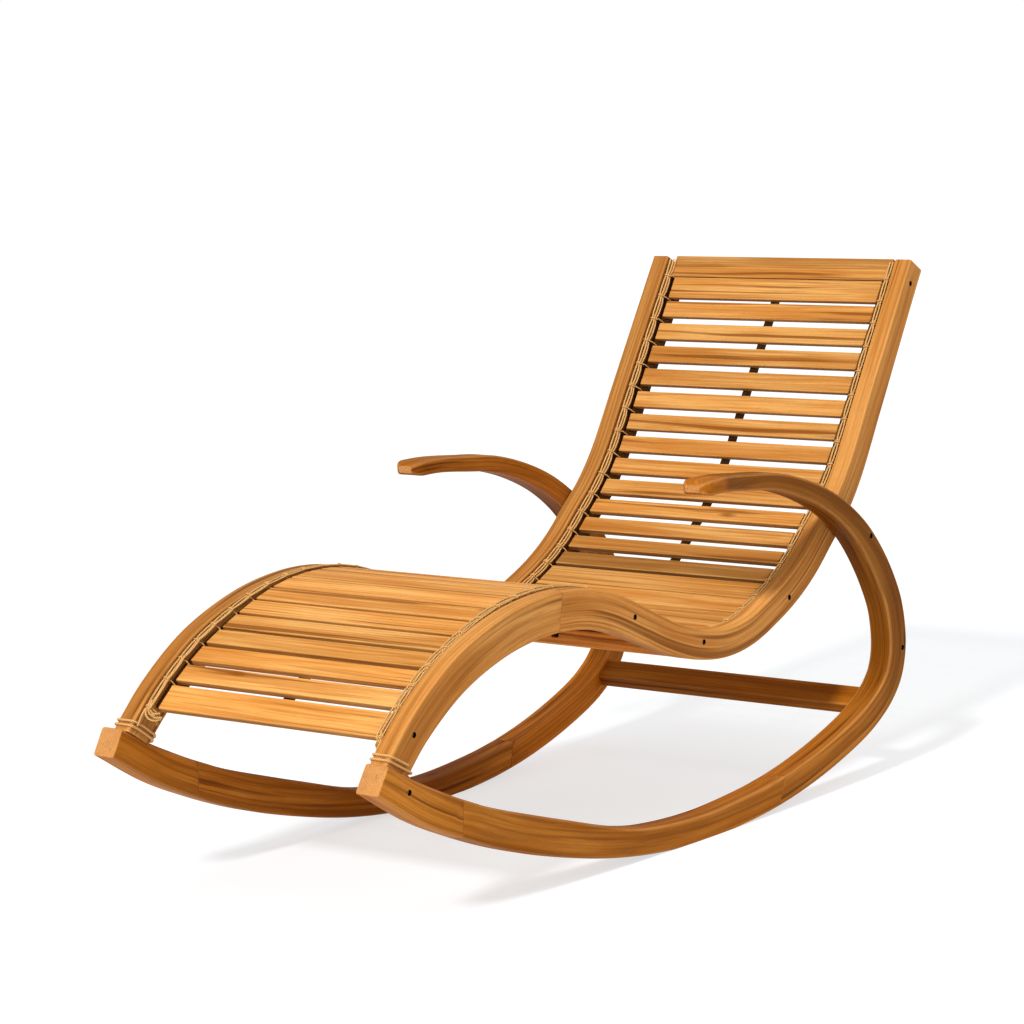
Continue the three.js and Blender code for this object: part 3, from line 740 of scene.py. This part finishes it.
def bar_ring(front, back, low, high, radius, side, along, tone, inset):
    """One ring of a bar between its front and back in the side view, and its two side faces."""
    depth = (back - front).length
    middle = front.lerp(back, 0.5)
    width = high(middle) - low(middle)
    radius = min(radius, depth * EDGE_LIMIT_SHARE, width * EDGE_LIMIT_SHARE)
    ring = []
    for a, d, on_arc in rounded_section(width, depth, radius):
        a = inset + a * (1 - 2 * inset / width)
        d = inset + d * (1 - 2 * inset / depth)
        point = front.lerp(back, d / depth)
        x = low(point) + (high(point) - low(point)) * a / width
        # Ends and rounded edges: wear and a painted highlight
        wear = END_WEAR_AND_HIGHLIGHT if inset else on_arc
        ring.append((place(side * x, point), (along, a, d), tone, wear))
    return ring


def arm_squeeze(curve, share):
    if curve is rail_curve:
        return 0
    from_tip = (1 - share) * curve.length
    blunt = max(0, 1 - from_tip / ARM_TIP_LENGTH)
    return (1 - math.sqrt(1 - blunt * blunt * TIP_ROUNDNESS)) / 2


def station_faces(curve, depth_at, share, slant):
    depth = depth_at(share)
    squeeze = arm_squeeze(curve, share)
    front = inner_point(curve, share, depth * squeeze)
    back = inner_point(curve, share, depth * (1 - squeeze)) + curve.tangent(share) * slant
    return front, back


def rail_faces(share):
    return (lambda point: RAIL_INNER), (lambda point: RAIL_OUTER)


def loop_faces(share):
    squeeze = arm_squeeze(loop_curve, share)
    width = LOOP_WIDTH + arm_width(share)
    return (
        lambda point: loop_inner_x(point) + width * squeeze,
        lambda point: loop_inner_x(point) + width * (1 - squeeze),
    )


# What the bars of a kind share: their curve, their depth, their side faces, their edge and their slot

RAIL_KIND = (rail_curve, rail_depth_at, rail_faces, RAIL_EDGE, "rail_wood")
LOOP_KIND = (loop_curve, loop_depth_at, loop_faces, LOOP_EDGE, "loop_wood")


def bar(node, kind, side, shares, slants, seed, tone_and_painted_light_at, holes, seat=None):
    """A bar along a curve. Its ends are slanted, and a seat takes the place of the first where it has one."""
    curve, depth_at, faces_at, radius, slot = kind
    rings = []
    for i, share in enumerate(shares):
        slant = 0
        if i <= 1:
            slant = slants[0]
        elif i >= len(shares) - 2:
            slant = slants[1]
        front, back = station_faces(curve, depth_at, share, slant)
        if seat and i == 0:
            front, back = seat
        inset = END_EDGE if i in (0, len(shares) - 1) else 0
        along = share * curve.length
        low, high = faces_at(share)
        rings.append(bar_ring(front, back, low, high, radius, side, along, tone_and_painted_light_at(share), inset))
    loft(node, rings, slot, seed, holes)


def spread(curve, start, end, slants, tip=0):
    """Shares from start to end, close together at the ends and clear of their slants."""
    edge = END_EDGE / curve.length
    shares = [start, start + edge]
    first = start + (abs(slants[0]) * SLANT_ROOM_SHARE + END_ROOM) / curve.length
    last = end - (abs(slants[1]) * SLANT_ROOM_SHARE + END_ROOM) / curve.length - tip / curve.length
    count = max(2, round((last - first) * curve.length / BAR_STEP))
    shares += [first + (last - first) * i / count for i in range(count + 1)]
    if tip:
        for i in range(1, TIP_STEPS):
            angle = i / TIP_STEPS * math.pi / 2
            shares.append(last + math.sin(angle) * (end - edge - last))
    shares += [end - edge, end]
    return sorted(shares)


# Side rails. The foot is cut to stand on the top of the toe.

FOOT_SLANT = 30
TOE_STEPS = 84
SEAT_ROUNDS = 12
# The far rail is darkened as a whole: painted shade
FAR_RAIL_PAINTED_SHADE = 0.79


def toe_top(y):
    before = inner_point(loop_curve, 0, loop_depth_at(0))
    for i in range(1, TOE_STEPS // 2):
        share = i / TOE_STEPS
        above = inner_point(loop_curve, share, loop_depth_at(share))
        if above.x >= y:
            break
        before = above
    return before.y + (above.y - before.y) * (y - before.x) / (above.x - before.x)


def seat_on_toe(point, tangent):
    seated = point.copy()
    for _ in range(SEAT_ROUNDS):
        rise = seated.y - toe_top(seated.x) - FIT_GAP
        seated = seated - tangent * (rise / (tangent.y + tangent.x / 2))
    return seated


foot_tangent = rail_curve.tangent(0)
foot_front = seat_on_toe(rail_curve.point(0), foot_tangent)
foot_back = seat_on_toe(inner_point(rail_curve, 0, rail_depth_at(0)), foot_tangent)

HALF_SCARF = FIT_GAP / 2 / rail_curve.length
HALF_SEAM = FIT_GAP / 2 / loop_curve.length

screw_places = {"left": [], "right": []}


def screw_holes(side_name, side, kind, rows):
    """The centres of the screws' holes in the outer face."""
    curve, depth_at = kind[:2]
    holes = []
    for share, deep in rows:
        point = inner_point(curve, share, depth_at(share) * deep)
        outer_x = RAIL_OUTER
        if curve is loop_curve:
            outer_x = loop_inner_x(point) + LOOP_WIDTH + arm_width(share)
        holes.append(place(side * outer_x, point))
    screw_places[side_name] += holes
    return holes


def add_rail(side_name, side, seed):
    holes = screw_holes(side_name, side, RAIL_KIND, RAIL_SCREW_SHARES)
    leg_shares = spread(rail_curve, 0, SCARF_SHARE - HALF_SCARF, (FOOT_SLANT, SCARF_LENGTH))
    back_shares = spread(rail_curve, SCARF_SHARE + HALF_SCARF, 1, (SCARF_LENGTH, 0))

    # Colour factor along the rail, times painted shade on the far rail
    def tone_and_painted_light_at(share):
        return from_shares(RAIL_TONE_SHARES, share) * (1 if side > 0 else FAR_RAIL_PAINTED_SHADE)

    runs = (
        ("leg_rail", leg_shares, (0, -SCARF_LENGTH), holes[:1], (foot_front, foot_back)),
        ("back_rail", back_shares, (-SCARF_LENGTH, 0), holes[1:], None),
    )
    for number, (piece, shares, slants, own_holes, seat) in enumerate(runs):
        node = f"{side_name}_{piece}"
        bar(node, RAIL_KIND, side, shares, slants, seed + number, tone_and_painted_light_at, own_holes, seat)


def add_loop(side_name, side, seed):
    holes = screw_holes(side_name, side, LOOP_KIND, LOOP_SCREW_SHARES)
    # Painted light and shade along the loop, by side
    light_and_shade_shares = NEAR_LOOP_LIGHT_AND_SHADE_SHARES if side > 0 else FAR_LOOP_LIGHT_AND_SHADE_SHARES

    def tone_and_painted_light_at(share):
        return from_shares(light_and_shade_shares, share)

    toe_end, runner_start = TOE_SEAM_SHARE - HALF_SEAM, TOE_SEAM_SHARE + HALF_SEAM
    runner_end, bow_start = RUNNER_SEAM_SHARE - HALF_SEAM, RUNNER_SEAM_SHARE + HALF_SEAM
    runs = (
        ("toe_block", 0, toe_end, (0, -SEAM_SLANT), 0, holes[:1]),
        ("runner", runner_start, runner_end, (-SEAM_SLANT, SEAM_SLANT), 0, ()),
        ("rear_bow", bow_start, 1, (SEAM_SLANT, 0), ARM_TIP_LENGTH, holes[1:]),
    )
    for number, (piece, start, end, slants, tip, own_holes) in enumerate(runs):
        shares = spread(loop_curve, start, end, slants, tip)
        bar(f"{side_name}_{piece}", LOOP_KIND, side, shares, slants, seed + number, tone_and_painted_light_at, own_holes)


# Slats

def slat_edges():
    head_end = rail_curve.length + HEAD_OVERHANG
    head_start = head_end - HEAD_SLAT_WIDTH
    second_start = head_start - SEAT_GAP - SECOND_SLAT_WIDTH - OPEN_GAP / 2
    regular_start = FOOT_BARE_LENGTH + FIRST_SLAT_WIDTH + LEG_GAP / 2
    pitch = (second_start - regular_start) / REGULAR_SLATS
    drifts = [from_shares(SLAT_DRIFT_SHARES, i / REGULAR_SLATS) for i in range(REGULAR_SLATS)]
    starts = [regular_start + (i + drift) * pitch for i, drift in enumerate(drifts)]
    lengths = [FOOT_BARE_LENGTH - LEG_GAP / 2, *starts, second_start, head_start, head_end]
    return [length / rail_curve.length for length in lengths]


slat_shares = slat_edges()


def gap_of(index):
    part = (index - 1) / REGULAR_SLATS
    if index == 0:
        return LEG_GAP
    if index > REGULAR_SLATS:
        return SEAT_GAP
    if part < LEG_ZONE_SHARE:
        return LEG_GAP - (LEG_GAP - SEAT_GAP) * part / LEG_ZONE_SHARE
    return SEAT_GAP if part < SEAT_ZONE_SHARE else OPEN_GAP


SLAT_STEPS = 14
SLAT_END_MARGIN = 4
SLAT_TONE_RANGE = (0.9, 1.07)
SLAT_TONE_SEED = 7
SLAT_SEED = 500
# Painted shade on each slat's lower long edge face: how far it reaches and how dark it is
SLAT_SHADED_FACE_END = SLAT_EDGE * 0.6
SLAT_FACE_PAINTED_SHADE = 0.6
HEAD_STRIP_TONE = 0.76
HEAD_SPLIT_SHARE = 0.5
HEAD_GROOVE = 1.2


def add_slat(node, index, end_clearance, picker, grooved=False):
    top_start, top_end, bottom_start, bottom_end = (
        inner_point(rail_curve, share, recess_at(share) + deep)
        for deep in (0, SLAT_THICKNESS) for share in slat_shares[index:index + 2]
    )
    room = min((top_end - top_start).length, (bottom_end - bottom_start).length)
    width = room - gap_of(index)
    half_length = CLEAR_WIDTH / 2 - end_clearance
    middle = (top_start + top_end + bottom_start + bottom_end) / 4
    run = (top_end - top_start).normalized()
    deep = Vector((run.y, -run.x))
    # Painted light and shade by the slat's place, times a random factor for the wood's own colour
    tone = from_shares(SLAT_LIGHT_AND_SHADE_SHARES, index / (REGULAR_SLATS + 2)) * picker.uniform(*SLAT_TONE_RANGE)
    section = rounded_section(width, SLAT_THICKNESS, SLAT_EDGE)
    split = width * HEAD_SPLIT_SHARE if grooved else width
    if grooved:
        half = HEAD_GROOVE / 2
        section += [(split - half, 0, 0), (split - half / 2, HEAD_GROOVE, 0)]
        section += [(split + half / 2, HEAD_GROOVE, 0), (split + half, 0, 0)]
    stations = [-half_length, -half_length + END_EDGE]
    reach = half_length - SLAT_END_MARGIN
    stations += [-reach + 2 * reach * i / SLAT_STEPS for i in range(SLAT_STEPS + 1)]
    stations += [half_length - END_EDGE, half_length]
    rings = []
    for i, x in enumerate(stations):
        inset = END_EDGE if i in (0, len(stations) - 1) else 0
        ring = []
        for a, d, on_arc in section:
            shade = tone
            # Painted shade on the slat's lower long edge face
            if a < SLAT_SHADED_FACE_END:
                shade *= SLAT_FACE_PAINTED_SHADE
            elif a > split:
                shade *= HEAD_STRIP_TONE
            a = inset + a * (1 - 2 * inset / width)
            d = inset + d * (1 - 2 * inset / SLAT_THICKNESS)
            point = middle + run * (a - width / 2) + deep * (d - SLAT_THICKNESS / 2)
            ring.append((place(x, point), (x, a, d), shade, on_arc))
        rings.append(ring)
    loft(node, rings, "slat_wood", SLAT_SEED + index)


def add_slats():
    picker = random.Random(SLAT_TONE_SEED)
    head_index = len(slat_shares) - 2
    for i in range(head_index):
        add_slat(f"slat_{i + 1:02d}", i, LACE_LANE, picker)
    add_slat("head_rail", head_index, HEAD_CLEARANCE, picker, grooved=True)


STRETCHER_STEPS = 16
STRETCHER_TONE = 0.95
STRETCHER_SEED = 900


def add_stretcher():
    tangent = loop_curve.tangent(STRETCHER_SHARE)
    normal = inward(loop_curve, STRETCHER_SHARE)
    middle = inner_point(loop_curve, STRETCHER_SHARE, loop_depth_at(STRETCHER_SHARE) / 2)
    rings = []
    for i in range(STRETCHER_STEPS + 1):
        ring = []
        for a, d, on_arc in rounded_section(STRETCHER_HEIGHT, STRETCHER_THICKNESS, STRETCHER_EDGE):
            point = middle + tangent * (a - STRETCHER_HEIGHT / 2) + normal * (d - STRETCHER_THICKNESS / 2)
            x = (2 * i / STRETCHER_STEPS - 1) * (loop_inner_x(point) - FIT_GAP)
            ring.append((place(x, point), (x, a, d), STRETCHER_TONE, on_arc))
        rings.append(ring)
    loft("rear_stretcher", rings, "loop_wood", STRETCHER_SEED)


# The brace is lightened, though it lies in the bed's shadow: painted light
BRACE_PAINTED_LIGHT = 1.5
BRACE_EDGE = 2.2
BRACE_EDGE_STEPS = 3
BRACE_SEED = 901


def add_brace():
    """The brace passes below the ledgers and the spine, and rises between them."""
    under_slats = recess_at(BRACE_SHARE) + SLAT_THICKNESS + BRACE_CLEARANCE
    under_bars = under_slats + SPINE_DEPTH
    bottom = under_bars + BRACE_THICKNESS
    end_x = RAIL_INNER - FIT_GAP
    ledger_x = RAIL_INNER - LEDGER_WIDTH - BRACE_CLEARANCE
    spine_x = SPINE_WIDTH / 2 + BRACE_CLEARANCE
    half = [
        (end_x, bottom), (end_x, under_bars), (ledger_x, under_bars), (ledger_x, under_slats),
        (spine_x, under_slats), (spine_x, under_bars),
    ]
    outline = half + [(-x, deep) for x, deep in reversed(half)]
    tangent = rail_curve.tangent(BRACE_SHARE)
    rows = []
    for along in (-BRACE_WIDTH / 2, BRACE_WIDTH / 2):
        for x, deep in outline:
            point = inner_point(rail_curve, BRACE_SHARE, deep) + tangent * along
            rows.append((place(x, point), (x, along, deep), BRACE_PAINTED_LIGHT, 0))
    faces = tube_faces(0, 2, len(outline))
    piece = wooden_piece("seat_brace", rows, faces, "rail_wood", BRACE_SEED)
    softened = piece.modifiers.new("soft_edges", "BEVEL")
    softened.width = BRACE_EDGE * MILLIMETRE
    softened.segments = BRACE_EDGE_STEPS
    piece.modifiers.move(1, 0)


SIDES = (("left", 1), ("right", -1))
RAIL_SEEDS = (100, 140)
LOOP_SEEDS = (110, 150)
for number, (side_name, side) in enumerate(SIDES):
    add_rail(side_name, side, RAIL_SEEDS[number])
    add_loop(side_name, side, LOOP_SEEDS[number])
add_slats()
add_stretcher()
add_brace()

# Screws sunk in the side faces

SCREW_HEAD_RADIUS = 3.5
SCREW_HEAD_HEIGHT = 2
SCREW_HEAD_SHARES = ((1, 0), (1, 0.55), (0.86, 0.85), (0.45, 1))
SCREW_SECTORS = 24
SLOT_DEPTH = 0.8
SLOT_SINK = 1.1
SLOT_REACH_SHARE = 0.9
SLOT_WIDTH_SHARE = 0.35


def add_screws(side_name, side):
    """Cross-slotted heads at the bottoms of the holes."""
    places, faces = [], []
    for centre in screw_places[side_name]:
        bottom = centre - Vector((side * SCREW_DEPTH * MILLIMETRE, 0, 0))
        first = len(places)
        for reach, rise in SCREW_HEAD_SHARES:
            for k in range(SCREW_SECTORS):
                angle = 2 * math.pi * k / SCREW_SECTORS
                across = reach * SCREW_HEAD_RADIUS
                in_slot = abs(math.sin(2 * angle)) < SLOT_WIDTH_SHARE and reach < SLOT_REACH_SHARE
                up = rise * SCREW_HEAD_HEIGHT - (SLOT_DEPTH if in_slot else 0)
                offset = Vector((side * up, across * math.cos(angle), across * math.sin(angle)))
                places.append(bottom + offset * MILLIMETRE)
        *around, base, rim = tube_faces(first, len(SCREW_HEAD_SHARES), SCREW_SECTORS)
        tip = len(places)
        sink = Vector((side * (SCREW_HEAD_HEIGHT - SLOT_SINK), 0, 0))
        places.append(bottom + sink * MILLIMETRE)
        slopes = [(rim[k], rim[(k + 1) % SCREW_SECTORS], tip) for k in range(SCREW_SECTORS)]
        faces += [*around, *slopes, base[::-1]]
    name = f"{side_name}_screws"
    finish_mesh(name, closed_mesh(name, places, faces), "bolt_steel", [])


# Cords. A point of the bed is its distance from the middle, its length along the rail and its depth.

CORD_SIDES = 8
CORD_SHARP_ANGLE = math.radians(60)
SHORT_STEPS = 3
LONG_STEPS = 2
SECTION_START = (0.1, 0.2, 1)
TAPER_SHARE = 0.75


def bed_point(side, x, along, depth):
    return place(side * x, inner_point(rail_curve, along / rail_curve.length, depth))


def eased(points, steps):
    """A smooth path through points."""
    path = []
    for i in range(len(points) - 1):
        before, here, after, beyond = (points[min(max(i + j, 0), len(points) - 1)] for j in (-1, 0, 1, 2))
        for k in range(steps):
            t = k / steps
            bend = (after - before) * 0.5
            settle = (beyond - here) * 0.5
            path.append(
                here + bend * t + ((after - here) * 3 - bend * 2 - settle) * t * t
                + ((here - after) * 2 + bend + settle) * t * t * t
            )
    path.append(points[-1])
    return path


class Cords:
    """Tubes gathered in one mesh, with the twist of the cord in a UV map."""

    def __init__(self):
        self.places = []
        self.faces = []
        self.twists = []

    def add(self, points, radius, steps=SHORT_STEPS, taper=0):
        path = eased(points, steps)
        normal = Vector(SECTION_START)
        first = len(self.places)
        lengths = [0.0]
        for i, here in enumerate(path):
            tangent = (path[min(i + 1, len(path) - 1)] - path[max(i - 1, 0)]).normalized()
            normal = (normal - tangent * normal.dot(tangent)).normalized()
            other = tangent.cross(normal)
            size = radius * MILLIMETRE * (1 - taper * i / len(path))
            for k in range(CORD_SIDES):
                angle = 2 * math.pi * k / CORD_SIDES
                self.places.append(here + (normal * math.cos(angle) + other * math.sin(angle)) * size)
            if i:
                lengths.append(lengths[-1] + (here - path[i - 1]).length)
        self.faces += tube_faces(first, len(path), CORD_SIDES)
        for here, ahead in zip(lengths, lengths[1:]):
            for k in range(CORD_SIDES):
                low, high = k / CORD_SIDES, (k + 1) / CORD_SIDES
                self.twists += [(here, low), (here, high), (ahead, high), (ahead, low)]
        self.twists += [(0, 0)] * CORD_SIDES * 2

    def build(self, node):
        name = f"{node}_cord"
        mesh = bpy.data.meshes.new(name)
        mesh.from_pydata(self.places, [], self.faces)
        layer = mesh.uv_layers.new(name="twist")
        layer.data.foreach_set("uv", [value for twist in self.twists for value in twist])
        mesh.shade_smooth()
        mesh.set_sharp_from_angle(angle=CORD_SHARP_ANGLE)
        finish_mesh(name, mesh, "cord", [node])


RAIL_LANE = 262.4
MIDDLE_LANE = 255.6
SLAT_LANE = 250.4
SLAT_END = RAIL_INNER - LACE_LANE
STRAND_RADII = (CORD_RADIUS * 0.78, CORD_RADIUS * 0.78, CORD_RADIUS * 0.7)
KNOT_CORD_RADIUS = CORD_RADIUS * 0.65
TIE_RADIUS = CORD_RADIUS * 0.5
HOOK_RADIUS = CORD_RADIUS * 0.85
HAIR_RADIUS = 0.35
HAIR_COUNT = 9
HAIR_ROOT = (246, 35, 22)
HAIR_LEAN = 5
HAIR_DROPS = (8, 15)
KNOT_ACROSS = 5
KNOT_DEEP = 3
KNOT_PITCH = 3.4
KNOT_POINTS = 8
KNOT_TURNS = (1.25, 1.25, 2)
KNOT_SHIFT = 2
CORD_DRIFT = 0.5
LACE_PROUD = 1.4
LACE_SINK = 6.8
LACE_END_MARGIN = 6
LOWER_LACING_SHARE = 0.5
GAP_SHARES = (0, 0.25, 0.75)

# A cord's lane, its shift at a knot, its depth below the lacing's, and its share of the drift

RAIL_ROW = (RAIL_LANE, -1.2, 0, 0.6)
MIDDLE_ROW = (MIDDLE_LANE, 1.8, 0.8, 1)
LOWER_SLAT_ROW = (SLAT_LANE, 2, -1, -1)
UPPER_SLAT_ROW = (MIDDLE_LANE - 2.4, 3, 5, 0)

# Places of the bed: where the rail's, the middle and the slats' cord start, and bends round the lowest slat

CORD_STARTS = (
    ((264, 8, 9), (264, 22, 7), (264, 38, 6)),
    ((243, 44, 21), (250, 38, 15), (255, 41, 8)),
    ((247, 36, 17), (253, 34, 10), (256, 40, 6)),
)
HOOKS = (
    ((MIDDLE_LANE, 58, 4), (259, 44, 6), (255, 36, 12), (248, 34, 20), (241, 40, 28)),
    ((RAIL_LANE - 1, 52, 5), (262, 36, 8), (256, 28, 15), (249, 30, 24), (243, 38, 30)),
)


def lace_depth(along):
    """The cords lie deeper where the slats do, and stand proud on the knee."""
    return LACE_SINK * recess_at(along / rail_curve.length) / SLAT_RECESS - LACE_PROUD


def lacing_strands(side, lengths, picker):
    """The rail's, the middle and the slats' cord, drawn together at each gap between slats."""
    last = lengths[-1] - LACE_END_MARGIN
    strands = [[bed_point(side, *stop) for stop in start] for start in CORD_STARTS]
    for start, end in zip(lengths, lengths[1:]):
        for part in GAP_SHARES:
            along = min(start + (end - start) * part, last)
            drawn = 1 if part == 0 else 0
            drift = picker.uniform(-CORD_DRIFT, CORD_DRIFT)
            lower = along < LOWER_LACING_SHARE * rail_curve.length
            rows = (RAIL_ROW, MIDDLE_ROW, LOWER_SLAT_ROW if lower else UPPER_SLAT_ROW)
            for strand, (lane, draw, sink, drift_share) in zip(strands, rows):
                x = lane + draw * drawn + drift * drift_share
                strand.append(bed_point(side, x, along, lace_depth(along) + sink))
    return strands


def knot_path(side, start, shift, turns):
    """Turns of cord round the drawn strands."""
    knot = []
    for k in range(round(turns * KNOT_POINTS) + 1):
        angle = 2 * math.pi * k / KNOT_POINTS
        x = (RAIL_LANE + MIDDLE_LANE) / 2 + KNOT_ACROSS * math.cos(angle)
        depth = lace_depth(start) + KNOT_DEEP * math.sin(angle)
        along = start + shift + (k / KNOT_POINTS - turns / 2) * KNOT_PITCH
        knot.append(bed_point(side, min(x, RAIL_INNER - CORD_RADIUS), along, depth))
    return knot


def tie_path(side, start, shift):
    """The tie from a knot down into the gap between two slats."""
    depth = lace_depth(start)
    dip = recess_at(start / rail_curve.length) + SLAT_THICKNESS / 2
    stops = (
        (MIDDLE_LANE, start + shift, depth + 3.5), (SLAT_LANE + 1, start + 1, depth + 8),
        (SLAT_END + 3, start, dip + 2), (SLAT_END + 1, start - 1, dip + 7),
    )
    return [bed_point(side, *stop) for stop in stops]


def hair_path(side, lean, drop):
    """One fibre of the cord's frayed end."""
    x, along, depth = HAIR_ROOT
    stops = (
        HAIR_ROOT, (x + lean * 0.3, along - 4, depth + 2 + drop * 0.3),
        (x - 1 + lean, along - 8 - drop * 0.3, depth + 3 + drop * 0.6),
    )
    return [bed_point(side, *stop) for stop in stops]


def add_lacing(side_name, side, picker):
    """Three cords side by side, bound at each gap, and the loose end below the lowest slat."""
    cords = Cords()
    lengths = [share * rail_curve.length for share in slat_shares]
    for strand, radius in zip(lacing_strands(side, lengths, picker), STRAND_RADII):
        cords.add(strand, radius, LONG_STEPS)
    for start in lengths[:-1]:
        shift = picker.uniform(-KNOT_SHIFT, KNOT_SHIFT)
        turns = picker.choice(KNOT_TURNS)
        cords.add(knot_path(side, start, shift, turns), KNOT_CORD_RADIUS, LONG_STEPS)
        cords.add(tie_path(side, start, shift), TIE_RADIUS)
    for hook in HOOKS:
        cords.add([bed_point(side, *stop) for stop in hook], HOOK_RADIUS)
    for _ in range(HAIR_COUNT):
        lean = picker.uniform(-HAIR_LEAN, HAIR_LEAN)
        drop = picker.uniform(*HAIR_DROPS)
        cords.add(hair_path(side, lean, drop), HAIR_RADIUS, taper=TAPER_SHARE)
    cords.build(f"{side_name}_lacing")


WRAP_PITCH = 9
WRAP_TURNS = 2
WRAP_SINK_SHARE = 0.9
WRAP_CLEARANCE = 0.4
CORNER_POINTS = 3
POINTS_PER_SIDE = 7


def add_foot_wrap(side_name, side):
    """Two turns round the rail's foot, each level until it steps up on the inner side."""
    reach = CORD_RADIUS * WRAP_SINK_SHARE
    radius = reach + RAIL_EDGE
    run = foot_back - foot_front
    ahead = run.normalized()
    corner_d = run.length / 2 - RAIL_EDGE
    corner_x = RAIL_WIDTH / 2 - RAIL_EDGE
    middle = foot_front.lerp(foot_back, 0.5)
    points = []
    signs = ((1, 1), (-1, 1), (-1, -1), (1, -1))
    for turn_number in range(WRAP_TURNS):
        for index, (sign_x, sign_d) in enumerate(signs):
            next_x, next_d = signs[(index + 1) % 4]
            for j in range(POINTS_PER_SIDE):
                angle = (index + min(j, CORNER_POINTS) / CORNER_POINTS) * math.pi / 2
                x = sign_x * corner_x + radius * math.cos(angle)
                deep = sign_d * corner_d + radius * math.sin(angle)
                if j > CORNER_POINTS:
                    part = (j - CORNER_POINTS) / (POINTS_PER_SIDE - CORNER_POINTS)
                    x += (next_x - sign_x) * corner_x * part
                    deep += (next_d - sign_d) * corner_d * part
                step = smooth_step(index * POINTS_PER_SIDE + j, POINTS_PER_SIDE, 2 * POINTS_PER_SIDE)
                lift = reach + WRAP_CLEARANCE + (turn_number + step) * WRAP_PITCH
                point = middle + ahead * deep + foot_tangent * lift
                points.append(place(side * (RAIL_INNER + RAIL_WIDTH / 2 + x), point))
    cords = Cords()
    cords.add(points, CORD_RADIUS, LONG_STEPS)
    cords.build(f"{side_name}_foot_wrap")


LACING_SEEDS = (31, 32)
for number, (side_name, side) in enumerate(SIDES):
    add_screws(side_name, side)
    add_lacing(side_name, side, random.Random(LACING_SEEDS[number]))
    add_foot_wrap(side_name, side)


# Solids of the frame that stay as they are

BARE_NODES = (
    ("left_ledger", "under_wood"), ("right_ledger", "under_wood"), ("spine", "under_wood"),
    ("left_crossing_bolt", "bolt_steel"), ("right_crossing_bolt", "bolt_steel"),
)
for node, slot in BARE_NODES:
    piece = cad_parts[node]
    piece.data.materials.clear()
    piece.data.materials.append(materials[slot])

# Camera, turned with the chair as it rests

CAMERA_PLACE = Vector((3.77812, -4.71791, 1.47278))
CAMERA_RIGHT = Vector((0.779135, 0.625330, -0.043727))
CAMERA_UP = Vector((-0.058905, 0.142484, 0.988043))
CAMERA_FORWARD = Vector((-0.624083, 0.767242, -0.147850))
CAMERA_LENS = 119.53
CAMERA_SENSOR = 36
CAMERA_REACH = 200

camera_data = bpy.data.cameras.new("camera")
camera_data.sensor_width = CAMERA_SENSOR
camera_data.lens = CAMERA_LENS
camera_data.clip_end = CAMERA_REACH
camera = add_object("camera", camera_data)
turn = Matrix((CAMERA_RIGHT, CAMERA_UP, -CAMERA_FORWARD)).transposed()
camera.matrix_world = Matrix.Translation(CAMERA_PLACE) @ turn.to_4x4()
bpy.context.scene.camera = camera

# Floor, world and lamps

WHITE = (1, 1, 1, 1)
FLOOR_GREY = (0.4, 0.418, 0.434, 1)
FLOOR_GLOW = 0.66
FLOOR_BOUNCE = (0.8, 0.8, 0.8, 1)
WORLD_LIGHT = 0.42
WORLD_SEEN = 1.0
SUN_DISTANCE = 3

# Each sun's name, the way to it, its power and the width of its disc in degrees

SUNS = (("key", (0.22, -1.2, 1), 2.45, 7), ("top", (0.5, 0.2, 1), 0.6, 60))


def seen_ray(tree, *kinds):
    """1 for rays of the camera and of these kinds, and 0 for the rest."""
    path = tree.new("LightPath")
    seen = path.outputs["Is Camera Ray"]
    for kind in kinds:
        seen = tree.math("MAXIMUM", seen, path.outputs[kind])
    return seen


def floor_material():
    tree = material_tree("floor")
    seen = seen_ray(tree, "Is Glossy Ray", "Is Transmission Ray")
    grey = tree.add("BsdfDiffuse", {"Color": FLOOR_GREY})
    glow = tree.add("Emission", {"Color": WHITE, "Strength": FLOOR_GLOW})
    shown = tree.add("AddShader", {0: grey, 1: glow})
    bounce = tree.add("BsdfDiffuse", {"Color": FLOOR_BOUNCE})
    return tree.finish(tree.add("MixShader", {0: seen, 1: bounce, 2: shown}))


FLOOR_HALF = 60
floor_mesh = bpy.data.meshes.new("floor")
floor_mesh.from_pydata(
    [(x * FLOOR_HALF, y * FLOOR_HALF, 0) for x, y in ((-1, -1), (1, -1), (1, 1), (-1, 1))],
    [], [(0, 1, 2, 3)],
)
floor_mesh.materials.append(floor_material())
floor = add_object("floor", floor_mesh)

world = bpy.data.worlds.new("studio")
bpy.context.scene.world = world
sky = Tree(world, "OutputWorld")
level = sky.between(seen_ray(sky, "Is Transmission Ray"), 0, 1, WORLD_LIGHT, WORLD_SEEN)
sky.finish(sky.add("Background", {"Color": WHITE, "Strength": level}))

for name, towards_light, power, spread_degrees in SUNS:
    data = bpy.data.lights.new(name, "SUN")
    data.energy = power
    data.angle = math.radians(spread_degrees)
    light = add_object(name, data)
    light.location = Vector(towards_light) * SUN_DISTANCE
    light.rotation_euler = Vector(towards_light).to_track_quat("Z", "Y").to_euler()

bpy.context.scene.view_settings.view_transform = "Standard"
